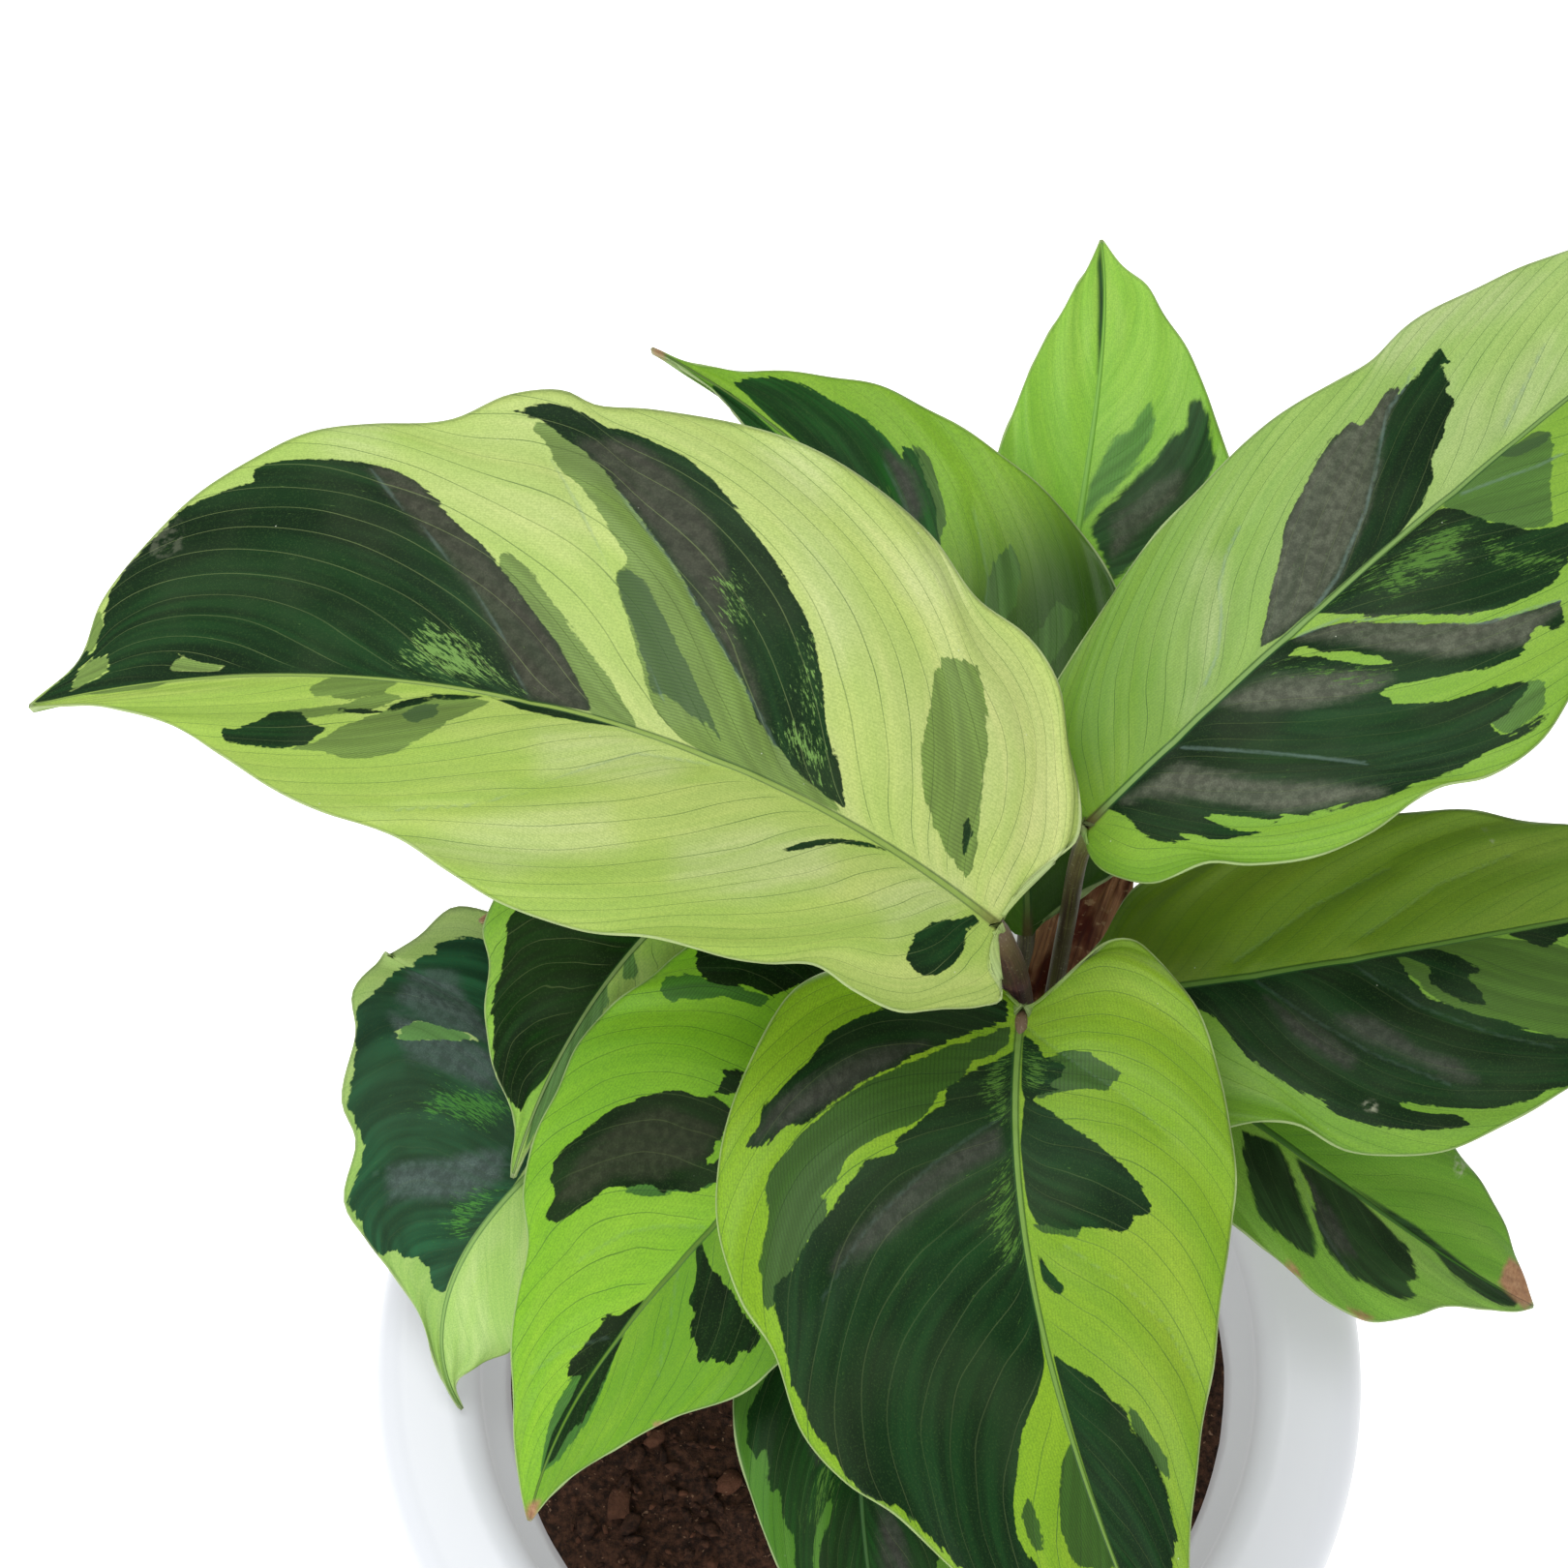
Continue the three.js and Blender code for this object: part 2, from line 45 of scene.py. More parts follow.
# Blades, in millimetres. Each is drawn flat: x along the midrib from the petiole joint, y across,
# left positive. Margins run from the joint round the base lobe to the tip. heading and pitch are
# degrees at the joint, the middle and the tip; roll is at the joint and the tip, fold and curl are
# the left's and the right's. ground is the left's colour at the base and the tip, then the right's.
# Margins and marks are lists of x, y pairs, one after the other.
LEAVES = {
    "leaf_01": {
        "joint": (25, 54, 318), "length": 234, "sweep": 2.0, "heading": (146, 165, 178),
        "pitch": (22, -6, -30), "roll": (0, 0), "fold": (18, 14), "curl": (10, 8),
        "drift": (0.2, 0.27),
        "ground": ((188, 208, 118), (176, 206, 96), (200, 212, 138), (188, 214, 122)),
        "olive_colour": (112, 142, 66), "rib": (150, 178, 86), "rib_edge": (62, 96, 48),
        "sheen_colour": (84, 86, 74), "mottle_colour": (126, 168, 88), "pale_veins": 0.36,
        "crease_highlight": 0.22, "scar_strength": 0.12, "joint_colour": (124, 130, 66),
        "left": [-1, 5, -3, 10, -9, 14, -6, 19, 0, 25, 9, 33, 20, 35, 30, 35, 40, 41, 50, 45, 66, 48,
            80, 52, 98, 52, 112, 48, 128, 41, 145, 38, 160, 32, 175, 23, 190, 14, 212, 5],
        "right": [1, -8, -1, -20, -2, -25, 3, -34, 10, -41, 18, -50, 27, -55, 38, -57, 50, -65,
            60, -69, 75, -72, 90, -73, 105, -71, 115, -69, 122, -71, 131, -68, 141, -61, 157, -59,
            170, -56, 180, -51, 195, -41, 206, -31, 214, -20, 220, -8],
        "dark": [
            [14, -7, 15, -8, 18, -13, 18, -15, 16, -13],
            [40.5, -2.5, 45, -8.5, 51, -15.5, 55, -23, 59, -29, 64, -35.5, 69.5, -41, 75.5, -46.5,
             82.5, -52, 89.5, -57.5, 96, -61.5, 101.5, -63, 107.5, -64.5, 112, -64, 119, -67,
             124.5, -67, 130, -64, 129, -63, 124.5, -63, 116.5, -59, 108.5, -53, 99.5, -44.5, 92, -38,
             85, -31, 77.5, -24, 71, -18.5, 65, -11.5, 60.5, -8.5, 53, -4.5, 45.5, -2.8],
            [97.5, -1, 101.5, -6, 104.5, -9.5, 108.5, -13.5, 113, -17, 118.5, -22.5, 124.5, -28,
             130, -33, 135, -36.5, 139.5, -40.5, 145, -45, 150.5, -48.5, 157.5, -50, 170, -50,
             177, -49, 180, -48, 180, -45, 185, -44, 192, -41, 195, -40, 199, -37, 202, -34,
             207, -29.5, 210, -25, 212, -22, 212, -19, 215, -16, 217, -13, 219, -9, 222, -6, 229, -2.2,
             233, -0.4, 220, 0.2, 180, -0.4, 120, -0.2, 104, -0.6],
            [3.7, 2.2, 5, 6, 3.7, 11, 4, 16, 5.7, 20, 8, 22, 11, 22.5, 14, 21, 14.5, 19, 14, 15,
             12.5, 10.5, 10, 7, 8, 4.7, 5.7, 1.7],
            [26, 0.1, 32, 1.6, 38, 4.1, 42, 7.4, 45.5, 11, 48, 15, 46.6, 14, 44.4, 12, 41, 9, 37, 5.2,
             32, 2.6],
            [152, 16, 155, 20, 160, 21, 164.5, 21, 170, 20.5, 176, 19, 177, 15.5, 174, 16, 169, 14,
             166, 11, 160, 11, 157, 14],
            [119, 0.6, 125, 1.6, 132, 2.6, 137.6, 5.6, 141, 9, 146, 9, 152, 9, 152, 10.4, 145, 11,
             139.6, 10, 136, 7, 131.6, 4, 125, 2.8],
            [88, 0, 100, 2.4, 112, 2.6, 119, 1.2, 112, 0],
        ],
        "olive": [
            [38, -42, 38, -38.5, 35.5, -29.5, 32.5, -21, 28.5, -13.5, 22.5, -9, 17, -5.5, 11.5, -4,
             11, -6.5, 14.5, -13, 18.5, -20.5, 22.5, -30, 28.5, -39.5, 32, -43.5],
            [40, -1, 45.5, -4, 53, -6, 60.5, -10, 65, -13, 71, -20, 77.5, -26, 85, -33, 92, -40,
             99.5, -46.5, 108.5, -55, 116.5, -61, 124.5, -63, 126, -62, 123.5, -59.5, 119.5, -53.5,
             112.5, -48.5, 106, -42, 100, -35.5, 102, -31.5, 98, -25, 93.5, -18, 87.5, -9, 85, -5.5,
             78, -1.5, 71.5, -0.3],
            [87, -0.4, 88.5, -2, 96, -9, 103, -14.5, 109, -19.5, 117, -27, 122.5, -31, 125.5, -33,
             125, -28, 120, -23, 113, -16, 106, -10, 101.5, -4, 98, -0.4],
            [119, 2.2, 124, 8, 129, 14, 134, 20, 140, 23, 145, 23.5, 150, 22, 159, 21, 154, 20,
             149, 15.5, 144, 11, 137, 6, 129, 2.2],
            [138, 5, 145, 10, 152, 11.5, 160, 13, 166, 11.5, 160, 9.6, 151, 8, 143, 4],
            [140, 0.3, 145, 4.7, 150, 7, 155, 6, 159.5, 6, 160, 3.8, 157, 0.5, 150, 0],
            [195, 0, 200, 1.7, 207, 1.3, 214, 1, 219, 0.1],
        ],
        "deep_olive": [
            [101, -34, 101.5, -31, 96.5, -23.5, 90, -14.5, 87, -9.5, 80.5, -8.5, 74, -6, 69, -3.5,
             73, -8, 79, -14, 84.5, -19.5, 90, -25.5, 95.5, -31.5],
            [129, 9, 133, 12, 137, 10, 134, 6.5, 130, 5.5],
        ],
        "grey": [
            [116, -60, 108.5, -54, 99.5, -45.5, 92, -39, 85, -32, 77.5, -25, 71, -19.5, 65, -12.5,
             61, -9, 67, -17, 73.5, -24, 79, -31, 83, -41.5, 88.5, -49.5, 95.5, -55, 105.5, -61.5],
            [98, -1, 104.5, -9.5, 113, -17, 124.5, -28, 135, -36.5, 145, -45, 153, -49.5, 156, -48,
             149, -41, 141.5, -34, 134, -27, 128, -21, 121, -13.5, 116, -6, 111, -1],
        ],
        "mottle": [
            [76, -26, 84, -38, 80, -40, 74, -32],
            [46, -4, 60, -9.5, 58, -15, 50, -13],
            [112, -2, 120, -6, 128, -12, 138, -14, 142, -4, 130, -1],
            [56, -14, 64, -32, 62, -33, 54, -18],
        ],
        "glare": [
            [84, -68, 77, -73, 71, -70, 70.5, -60, 78, -60],
            [52, -60, 46, -61, 41, -56, 43.5, -51, 50, -52],
            [74, -56, 66, -54, 56, -41, 55, -29, 64, -39],
            [106, 8, 90, 2, 75, 3, 77, 10, 93, 16, 102, 18],
            [68, 24, 53, 11, 40, 7, 36, 15, 49, 29, 65, 33],
            [26, 13, 19, 1, 11, -0.5, 10, 5, 19, 19],
            [124, 43, 106, 32, 86, 23, 79, 30, 101, 45],
            [168, -57, 156, -58, 152, -51, 162, -49],
        ],
        "green": [
            [196.5, -2.4, 194, -5.6, 188.5, -3.7, 182, -2.5, 184, -1.2, 190.5, -1.8],
            [222.5, -1, 220, -5.5, 216.5, -7.5, 212, -8, 211.5, -4.5, 215, -3, 219, -2],
            [216, -8, 215, -12.5, 213, -15, 214.5, -19, 216.5, -16, 218, -10],
        ],
        "crease": [
            [84, -8, 92, -17, 102, -30, 112, -44, 122, -56],
            [111, -1, 116, -6, 121, -13.5, 128, -21, 134, -27, 141.5, -34, 149, -41, 156, -48],
            [70, 1.6, 85, 5.6, 95, 14.6, 105, 25, 115, 31, 130, 35],
            [58, -7, 71, -18, 85, -30.5, 92, -37.5, 99.5, -44, 108, -52],
        ],
        "scar": [
            [194.5, -30, 198, -28, 202, -29, 203.7, -33, 200, -38, 195.5, -38],
        ],
    },
    "leaf_02": {
        "joint": (46, 85, 300), "length": 244, "sweep": 2.0, "heading": (40, 42, 46),
        "pitch": (25, -2, -25), "roll": (-8, -4), "fold": (6, 6), "curl": (8, 8),
        "drift": (0.22, 0.22),
        # The left half's near-white tip colour is painted sheen.
        "ground": ((116, 160, 40), (220, 242, 172), (138, 182, 60), (160, 198, 82)),
        "olive_colour": (84, 126, 54), "rib": (132, 168, 92), "rib_edge": (40, 84, 44),
        "sheen_colour": (112, 118, 102), "crease_highlight": 0.34,
        "left": [-5, 5, -8, 13, -4, 21, 6, 26, 17, 29, 35, 34, 50, 37, 70, 40, 95, 41, 112, 38,
            123, 37, 137, 38, 160, 34, 185, 29, 205, 21, 226, 9],
        "right": [-3, -4, -4, -9, -2, -15, 3, -22, 14, -27, 20, -34, 30, -42, 42, -47, 58, -50,
            67, -55, 80, -57, 95, -53, 115, -48, 145, -41, 175, -31, 205, -19, 226, -9],
        "dark": [
            [54.5, 2.2, 59, 5.5, 64, 9, 69, 12, 74, 16, 79, 20, 84, 22, 90, 24, 95, 26, 102, 28,
             108, 28, 109, 26, 114, 27, 119, 28, 124, 28, 121, 26, 129, 27, 137, 28.5, 138, 28,
             137, 24, 134.5, 25, 132, 20.5, 129.5, 20, 129, 16, 124, 14, 119.5, 11, 114, 9, 111, 5.5,
             104, 2.2, 95, 0.6, 60, 1],
            [6, -0.3, 8, -5, 8, -12, 9.5, -15, 12, -18, 14.5, -20, 17, -23, 19.5, -26, 22, -27,
             25, -29.5, 30, -31, 32, -30, 35, -34, 40, -37, 45, -40, 50, -44, 55, -45, 60, -48,
             65, -50, 72, -51, 77, -53, 82, -54, 87, -54, 85, -53, 79, -52, 75, -51, 75, -47, 79, -48,
             87, -46.5, 88, -45, 82, -42, 81, -41, 93, -40, 93.5, -38.5, 99, -37, 101, -41, 104, -40,
             107, -36, 100, -33, 95, -30, 90, -27, 85, -22, 80, -16, 75, -10, 71, -6, 67, -3, 60, -0.6,
             40, -0.4],
            [69, -0.5, 72, -3.7, 77, -10, 84, -17, 90, -24, 97, -29, 104, -31, 109, -32, 116, -30,
             124, -24, 119.5, -22, 115, -19, 113, -14.5, 110, -10, 109.5, -5.3, 107, -0.8],
            [136, -12, 150, -17, 168, -20, 188, -18, 196, -14, 190, -22, 176, -28, 160, -33, 146, -36,
             134, -36, 124, -32, 128, -24],
        ],
        "olive": [
            [107, -0.5, 120, -0.3, 130, -0.3, 139, -3.7, 137, -6.5, 132, -10, 126, -15, 119.5, -22,
             112, -16],
            [75, -46.5, 80, -45.4, 88, -45.4, 90, -48, 86, -52, 76, -51.5],
            [150, -1, 170, -4, 190, -5, 205, -2, 190, -0.4],
        ],
        "deep_olive": [
            [126, -0.4, 137, -1.2, 139, -3.7, 136, -5.5, 128, -3],
        ],
        "grey": [
            [56, 2.5, 64, 9, 74, 16, 84, 22, 95, 26, 108, 28, 124, 28, 117, 25, 109, 20, 102, 15,
             94, 10, 85, 6, 79, 3, 70, 1],
            [10, -2, 24, -5.3, 34, -22, 45, -35, 50, -42, 42, -37, 32, -29, 24, -17, 15, -5.3],
            [40, -1, 52, -5, 62, -15, 69, -24, 62, -22, 52, -16, 45, -9],
            [62, -2, 72, -5.3, 82, -17, 90, -25, 100, -34, 107, -37, 94, -38, 82, -30, 74, -20,
             69, -10],
        ],
        "mottle": [
            [72, -1, 88, -4, 92, -1],
            [54, -3, 60, -9, 64, -16, 70, -24, 62, -20],
            [80, -5, 91, -2, 105, -4.5, 108, -10, 98, -15, 83, -10],
            [107, -12, 112, -23, 115, -29, 112, -31, 103, -21],
        ],
        "glare": [
            [124, 38, 146, 37, 162, 34, 173, 28, 160, 25, 139, 31, 126, 32],
            [59, 25, 63, 24, 51, 10, 39, 3, 32, 1, 45, 12],
            [141, 11, 161, 14, 155, 7, 140, 2, 133, 4],
        ],
        "cut": [
            [64.5, -24.5, 69, -26, 75, -31, 84, -37, 92, -40, 86, -41.6, 81, -41, 74, -37, 69, -33,
             65, -29],
            [19.6, -18, 22.5, -20, 26, -24.5, 30, -30.4, 28, -31, 24, -28, 21, -23],
            [13.5, -17.5, 15.5, -19.5, 17.5, -23, 15, -22],
            [57, -3.7, 62, -9, 65, -15, 69, -20, 71.5, -23, 70.4, -19, 67.4, -13, 64, -9, 61, -3.7],
        ],
        "crease": [
            [70, 1, 79, 3, 85, 6, 94, 10, 102, 15, 109, 20, 117, 25, 125, 27, 130, 29],
            [40, 4.7, 47, 8, 53, 13, 59, 20, 65, 24, 72, 27],
            [27, -2, 35, -12, 44, -24, 52, -35],
            [62, -1.2, 72, -5.3, 82, -18, 92, -29, 107, -36],
            [112, -1, 120, -4, 130, -8, 137, -9.5],
            [132, 4, 145, 9, 158, 14],
        ],
    },
    "leaf_03": {
        "joint": (32, 48, 285), "length": 168, "sweep": 2.0, "heading": (-100, -74, -58),
        "pitch": (10, -20, -45), "roll": (0, 0), "fold": (10, 10), "curl": (12, 12),
        "drift": (0.2, 0.22),
        "ground": ((146, 184, 46), (142, 178, 54), (152, 194, 42), (142, 182, 46)),
        "olive_colour": (52, 92, 32), "rib": (126, 164, 74), "rib_edge": (52, 92, 44),
        "joint_colour": (96, 116, 50),
        "left": [-4, 5, -14, 12, -20, 17, -21, 22, -17, 28, -10, 34, 0, 40, 14, 44, 30, 46, 45, 46,
            60, 43, 75, 38, 90, 33, 105, 26, 120, 19, 135, 13, 152, 6],
        "right": [-4, -5, -7, -14, -7, -26, -3, -38, 4, -49, 15, -56, 25, -61, 35, -64, 45, -65,
            57, -62, 66, -57, 80, -55, 90, -49, 98, -41, 110, -34, 125, -25, 140, -16, 155, -8],
        "dark": [
            [5.7, 1, 9, 4.7, 12, 6, 12, 10, 15, 10.5, 19, 7, 20, 10, 21, 4.7, 24, 2.7, 19, 1.3],
            [21, 2.2, 24.5, 7, 29, 12, 34, 18, 39, 23, 44, 26, 49, 27.5, 51, 26, 51, 23, 53, 23,
             55, 20.5, 53, 17, 52, 12, 51.4, 8, 50, 3, 46, 1.6, 42, 1.3, 32, 1],
            [55, 2.2, 60, 3.8, 64, 6, 66, 6, 65, 3.8, 62, 2.2],
            [77, 1, 80, 3, 85, 8, 92, 12, 94, 13, 97, 12, 101, 14, 107, 15, 113, 15.6, 117, 15,
             124, 14, 130, 11, 140, 8, 150, 3, 152, 0.6, 120, 0.4],
            [-1, -3.7, -1, -12, 1, -20, 4.5, -28, 8, -35, 11.5, -41, 17, -45, 21, -49.5, 24.5, -52,
             25, -54.5, 29, -55, 32, -58, 33, -57, 33, -54.5, 29, -49.5, 29, -45, 24.5, -39, 20, -32,
             18, -27, 15, -22, 12, -17, 9, -12, 6, -7, 3.7, -2.8],
            [10, -0.4, 13, -3.7, 17, -10, 19.5, -13, 20, -15, 24.5, -15, 27, -20, 30, -24, 31, -26,
             34, -26, 35, -32, 39, -36, 42, -39, 44, -41, 47, -44.5, 50, -48, 53, -50, 55, -54,
             59, -55, 65, -54.5, 72, -54.5, 79, -53, 85, -50, 90, -48, 94, -45, 95, -42, 99, -38,
             105, -35, 109.5, -33, 125, -24, 138, -15, 148, -7, 138, -5, 124, -14, 115, -17, 110, -18,
             104, -17, 100, -15, 94, -12, 89, -8, 84, -3.7, 79, -1.2, 70, -0.4],
        ],
        "olive": [
            [9.5, 10, 10, 16, 12, 18, 15, 23, 19.5, 20, 19, 15.5, 20, 11, 22, 4.7, 14, 4],
            [50, 13, 54, 11, 52, 4, 50, 2],
            [92, 13, 94, 15, 100, 16.5, 107, 18, 111, 16.6, 104, 14],
            [4.5, -2, 9, -2, 12, -5, 14.5, -9.5, 20, -13, 22, -17, 27, -20, 30, -24, 29.5, -25,
             32, -32, 35, -37, 39, -39, 42, -44, 45, -47, 48, -49, 52, -52, 58, -56, 52, -57, 45, -54,
             37, -54, 34, -50, 29, -44.5, 24, -37, 19, -29, 14, -19, 9, -9],
            [42, -42, 45, -41, 50, -47, 58, -54, 59, -57, 54.5, -57, 49, -54, 45, -49, 43, -46],
            [96, -0.3, 125, -0.1, 124, -3.7, 120, -9, 112, -9, 105, -6, 100, -3.7],
            [104, -13, 108, -12.6, 115, -14, 114, -16, 106, -15.6],
            [90, -36.6, 100, -35, 100, -38.4, 92, -39],
        ],
        "grey": [
            [12, -20, 17, -27, 24, -39, 29, -50, 32, -56.5, 25, -51.5, 19, -40, 14, -29],
            [28, -4, 36, -16, 44, -30, 54, -42, 50, -30, 40, -14, 34, -3],
        ],
        "mottle": [
            [8, -1, 27, -1, 28, -4, 20, -8, 12, -6],
            [34, -0.8, 58, -0.8, 56, -6, 48, -8, 38, -5],
            [8, 1, 20, 1, 20, 6, 12, 8],
        ],
        "crease": [
            [4, 1.6, 12, 12, 20, 23, 30, 32],
            [55, 8, 66, 19, 78, 26, 92, 29],
            [26, -3, 36, -18, 48, -34, 60, -46],
        ],
    },
    "leaf_04": {
        "joint": (-3, 47, 268), "length": 139, "sweep": 2.0, "heading": (-119, -136, -107),
        "pitch": (0, -28, -50), "roll": (0, 0), "fold": (10, 6), "curl": (8, 8), "drift": (0.22, 0.22),
        "ground": ((108, 160, 26), (126, 174, 42), (144, 200, 46), (148, 198, 56)),
        "olive_colour": (62, 118, 40), "rib": (100, 136, 44), "rib_edge": (44, 92, 36),
        "sheen_colour": (68, 76, 56), "dark_colour": (14, 42, 10),
        "left": [-6, 4, -11, 10, -10, 20, -2, 30, 15, 36, 35, 38, 50, 36, 62, 33, 70, 32, 78, 29,
            90, 22, 101, 17, 112, 12, 124, 6],
        "right": [-6, -4, -13, -13, -16, -27, -10, -41, 4, -46, 18, -48, 32, -51, 44, -51, 56, -47,
            66, -44, 77, -38, 84, -29, 94, -24, 105, -18, 118, -10],
        "dark": [
            [57, 0.5, 59, 4.7, 59.5, 11, 60, 16, 61, 23, 62, 26, 66, 26, 67, 24, 70, 25, 73, 22,
             72, 20.5, 76, 20, 75, 17, 73, 16, 74, 14, 71, 11, 69, 10.5, 68, 7, 64.5, 6, 62, 3.8,
             59, 0.5],
            [84, 0.6, 92, 2.2, 100, 3.8, 107, 3.8, 112, 2.2, 120, 1.7, 123, 0.4, 105, 0],
            [75, -0.6, 82, -2.8, 84.5, -5.3, 90, -5.3, 95, -5.3, 100, -6, 101, -4.5, 99, -2, 105, -1.2,
             115, -1.4, 125, -0.2, 104, 0.3],
            [30, -15, 32, -13, 37, -12, 42, -11, 45, -9.5, 50, -10, 55, -13, 56, -17, 60, -20, 63, -24,
             69, -24.5, 74, -26, 77, -27, 77, -29.5, 72, -31, 71, -34.5, 67, -37, 62, -37, 57, -36,
             52, -35, 49, -34.5, 44, -32, 40, -30, 35, -26, 34, -22, 31, -19.5],
            [38, -3, 42, -5, 50, -8, 53, -12, 44, -10, 38, -8],
            [-10, -13.4, -4, -19, 0.7, -22, 2, -29, 5.3, -32, 7, -37, 5, -40, -2.6, -43, -12, -38,
             -16, -26, -13.5, -14],
            [22, -17.5, 24.5, -22, 26, -20, 30, -19, 27, -16],
        ],
        "olive": [
            [84, 0, 92, -3.2, 101, -3.6, 112, -3.2, 126, -0.4, 120, 2.6, 106, 5.2, 96, 3.6],
            [1.2, -22, 5, -23, 7, -28, 9, -36, 5, -36],
            [10, -39, 19, -40, 18, -44, 12, -45],
            [61.5, -20, 58.5, -16, 53.5, -11.5, 46.5, -5.5, 44, -7.5, 51, -14.5, 57, -20],
            [18, -42, 13, -35.5, 5.5, -29.5, 1.5, -31, 6, -36, 8.5, -42],
        ],
        "grey": [
            [36, -14, 44, -12, 53, -16, 60, -24, 70, -27, 72, -30, 62, -33, 50, -31, 40, -25],
        ],
        "crease": [
            [54, -1, 60, -8, 68, -14, 80, -18],
            [66, 1, 76, 8, 86, 13],
            [88, -2, 98, -9, 106, -12],
        ],
        "brown": [
            [132, 1.6, 139, 1.5, 139, -1.5, 134, -1],
            [93, 20.5, 95, 18.4, 96, 20.4],
        ],
    },
    "leaf_05": {
        "joint": (7, 32, 238), "length": 150, "sweep": 2.0, "heading": (-107, -88, -65),
        "pitch": (4, -12, -26), "roll": (0, 0), "fold": (8, 8), "curl": (8, 8), "drift": (0.2, 0.2),
        "ground": ((96, 150, 40), (116, 170, 58), (68, 120, 38), (98, 150, 52)),
        "olive_colour": (62, 112, 44), "rib": (70, 112, 60), "rib_edge": (30, 66, 36),
        "dark_colour": (24, 66, 24),
        "left": [-6, 5, -8, 14, 2, 23, 20, 28, 45, 31, 70, 30, 95, 25, 118, 16, 136, 7],
        "right": [-6, -5, -8, -14, 2, -22, 20, -26, 45, -28, 65, -28, 80, -24, 95, -19, 112, -12,
            132, -5],
        "dark": [
            [2, -0.5, 5, -15, 20, -20, 40, -18, 50, -19, 57, -22, 62, -25, 69, -25, 71, -23, 69, -21,
             72, -20, 78, -21, 77, -18, 82, -18, 88, -15.5, 94, -16.5, 110, -10, 125, -4, 110, -0.4,
             20, -0.4],
            [60, 0.5, 75, 14, 90, 17, 110, 12, 125, 4, 100, 0.4],
        ],
        "olive": [
            [10, 1, 24, 18, 38, 22, 44, 12, 30, 1],
        ],
        "grey": [
            [82, 4, 88, 8, 98, 9, 104, 6, 94, 3],
            [60, -3, 72, -9, 66, -12],
        ],
        "mottle": [
            [70, -4, 86, -8, 84, -13, 74, -10],
        ],
        "cut": [
            [80, -7, 83, -9.5, 87, -11, 95, -13, 95, -11.5, 87, -9, 83, -7],
        ],
    },
    "leaf_06": {
        "joint": (-35, 91, 262), "length": 88, "sweep": 1.8, "heading": (-142, -126, -112),
        "pitch": (0, -22, -45), "roll": (0, 0), "fold": (8, 8), "curl": (8, 8), "drift": (0.2, 0.2),
        "ground": ((176, 212, 104), (182, 208, 124), (168, 226, 78), (172, 216, 96)),
        "olive_colour": (98, 146, 76), "rib": (150, 178, 110), "rib_edge": (40, 84, 34),
        "dark_colour": (14, 50, 6), "pale_veins": 0.26,
        "left": [-5, 5, -6, 13, 4, 19, 22, 20, 40, 15, 55, 9, 70, 4],
        "right": [-5, -6, -6, -16, 4, -27, 18, -32, 35, -33, 42, -31, 47, -25, 58, -19, 67, -11,
            74, -4],
        "dark": [
            [10, -0.4, 14, -14, 24, -22, 28, -26, 37, -27, 40, -26, 44, -23, 49, -21, 55, -19, 60, -15,
             65, -13, 69, -9.5, 71, -5.3, 72, -2.8, 67, -2.3, 62, -0.7, 45, 0],
        ],
        "olive": [
            [27, 0.3, 30, 4.7, 33, 4.7, 33, 2.2, 30, 0.2],
            [36, 0, 40, 3.4, 52, 5, 64, 4, 74, 2.4, 80, 1, 70, 0],
        ],
    },
    "leaf_07": {
        "joint": (-60, 54, 228), "length": 96, "sweep": 2.0, "heading": (-118, -127, -45),
        "pitch": (0, -20, -62), "roll": (0, 0), "fold": (8, 8), "curl": (8, 8), "drift": (0.18, 0.18),
        "ground": ((186, 218, 128), (190, 222, 138), (200, 222, 152), (150, 192, 92)),
        "olive_colour": (96, 150, 76), "rib": (150, 190, 104), "rib_edge": (80, 130, 70),
        "crisp": 0.25, "dark_colour": (36, 80, 54), "sheen_colour": (96, 116, 112),
        "mottle_colour": (84, 152, 66),
        "left": [-6, 5, -8, 14, 2, 25, 20, 30, 42, 27, 58, 22, 72, 18, 80, 15, 84, 8, 87, 2],
        "right": [-6, -6, -14, -20, -21, -38, -19, -53, -8, -57, 2, -61, 15, -62, 28, -61, 34, -53,
            44, -45, 48, -36, 56, -31, 60, -22, 64, -13, 71, -5, 80, -2],
        "dark": [
            [35, -0.6, 64, -0.8, 64, -3.7, 60, -6, 59, -10, 60, -13, 59.5, -15, 62, -19, 61, -22,
             58, -25, 56, -30, 50, -31.4, 47, -34.6, 45, -39.5, 44, -43.4, 39, -47, 34, -53,
             29.5, -57.4, 20, -57, 12, -57, 2, -55, -4.7, -53, -6, -50, -8, -52, -10.5, -50, -13, -47,
             -14, -44, -15, -41, -12, -34, 0, -20, 15, -8, 28, -2],
        ],
        "grey": [
            [-4, -44, 6, -34, 12, -28, 20, -42, 22, -52, 8, -54, -2, -50],
            [30, -8, 40, -16, 48, -26, 52, -22, 44, -8, 36, -4],
            [14, -24, 22, -20, 30, -40, 26, -50, 20, -40],
        ],
        "mottle": [
            [20, -12, 30, -14, 38, -30, 30, -30, 22, -20],
            [36, -2, 52, -2, 52, -9, 42, -8],
        ],
        "green": [
            [13, -29, 16, -32, 19.5, -34.5, 24, -39.5, 28, -43, 29, -46, 26, -46, 22, -44.5, 19.5, -41,
             17, -37, 15, -34],
        ],
        "crease": [
            [30, -3, 38, -12, 46, -24, 52, -30],
        ],
    },
    "leaf_08": {
        "joint": (46, 149, 250), "length": 112, "sweep": 2.0, "heading": (85, 81, 93),
        "pitch": (35, 12, -10), "roll": (0, 0), "fold": (8, 8), "curl": (8, 8), "drift": (0.2, 0.2),
        "ground": ((134, 194, 52), (174, 222, 98), (134, 192, 52), (172, 220, 96)),
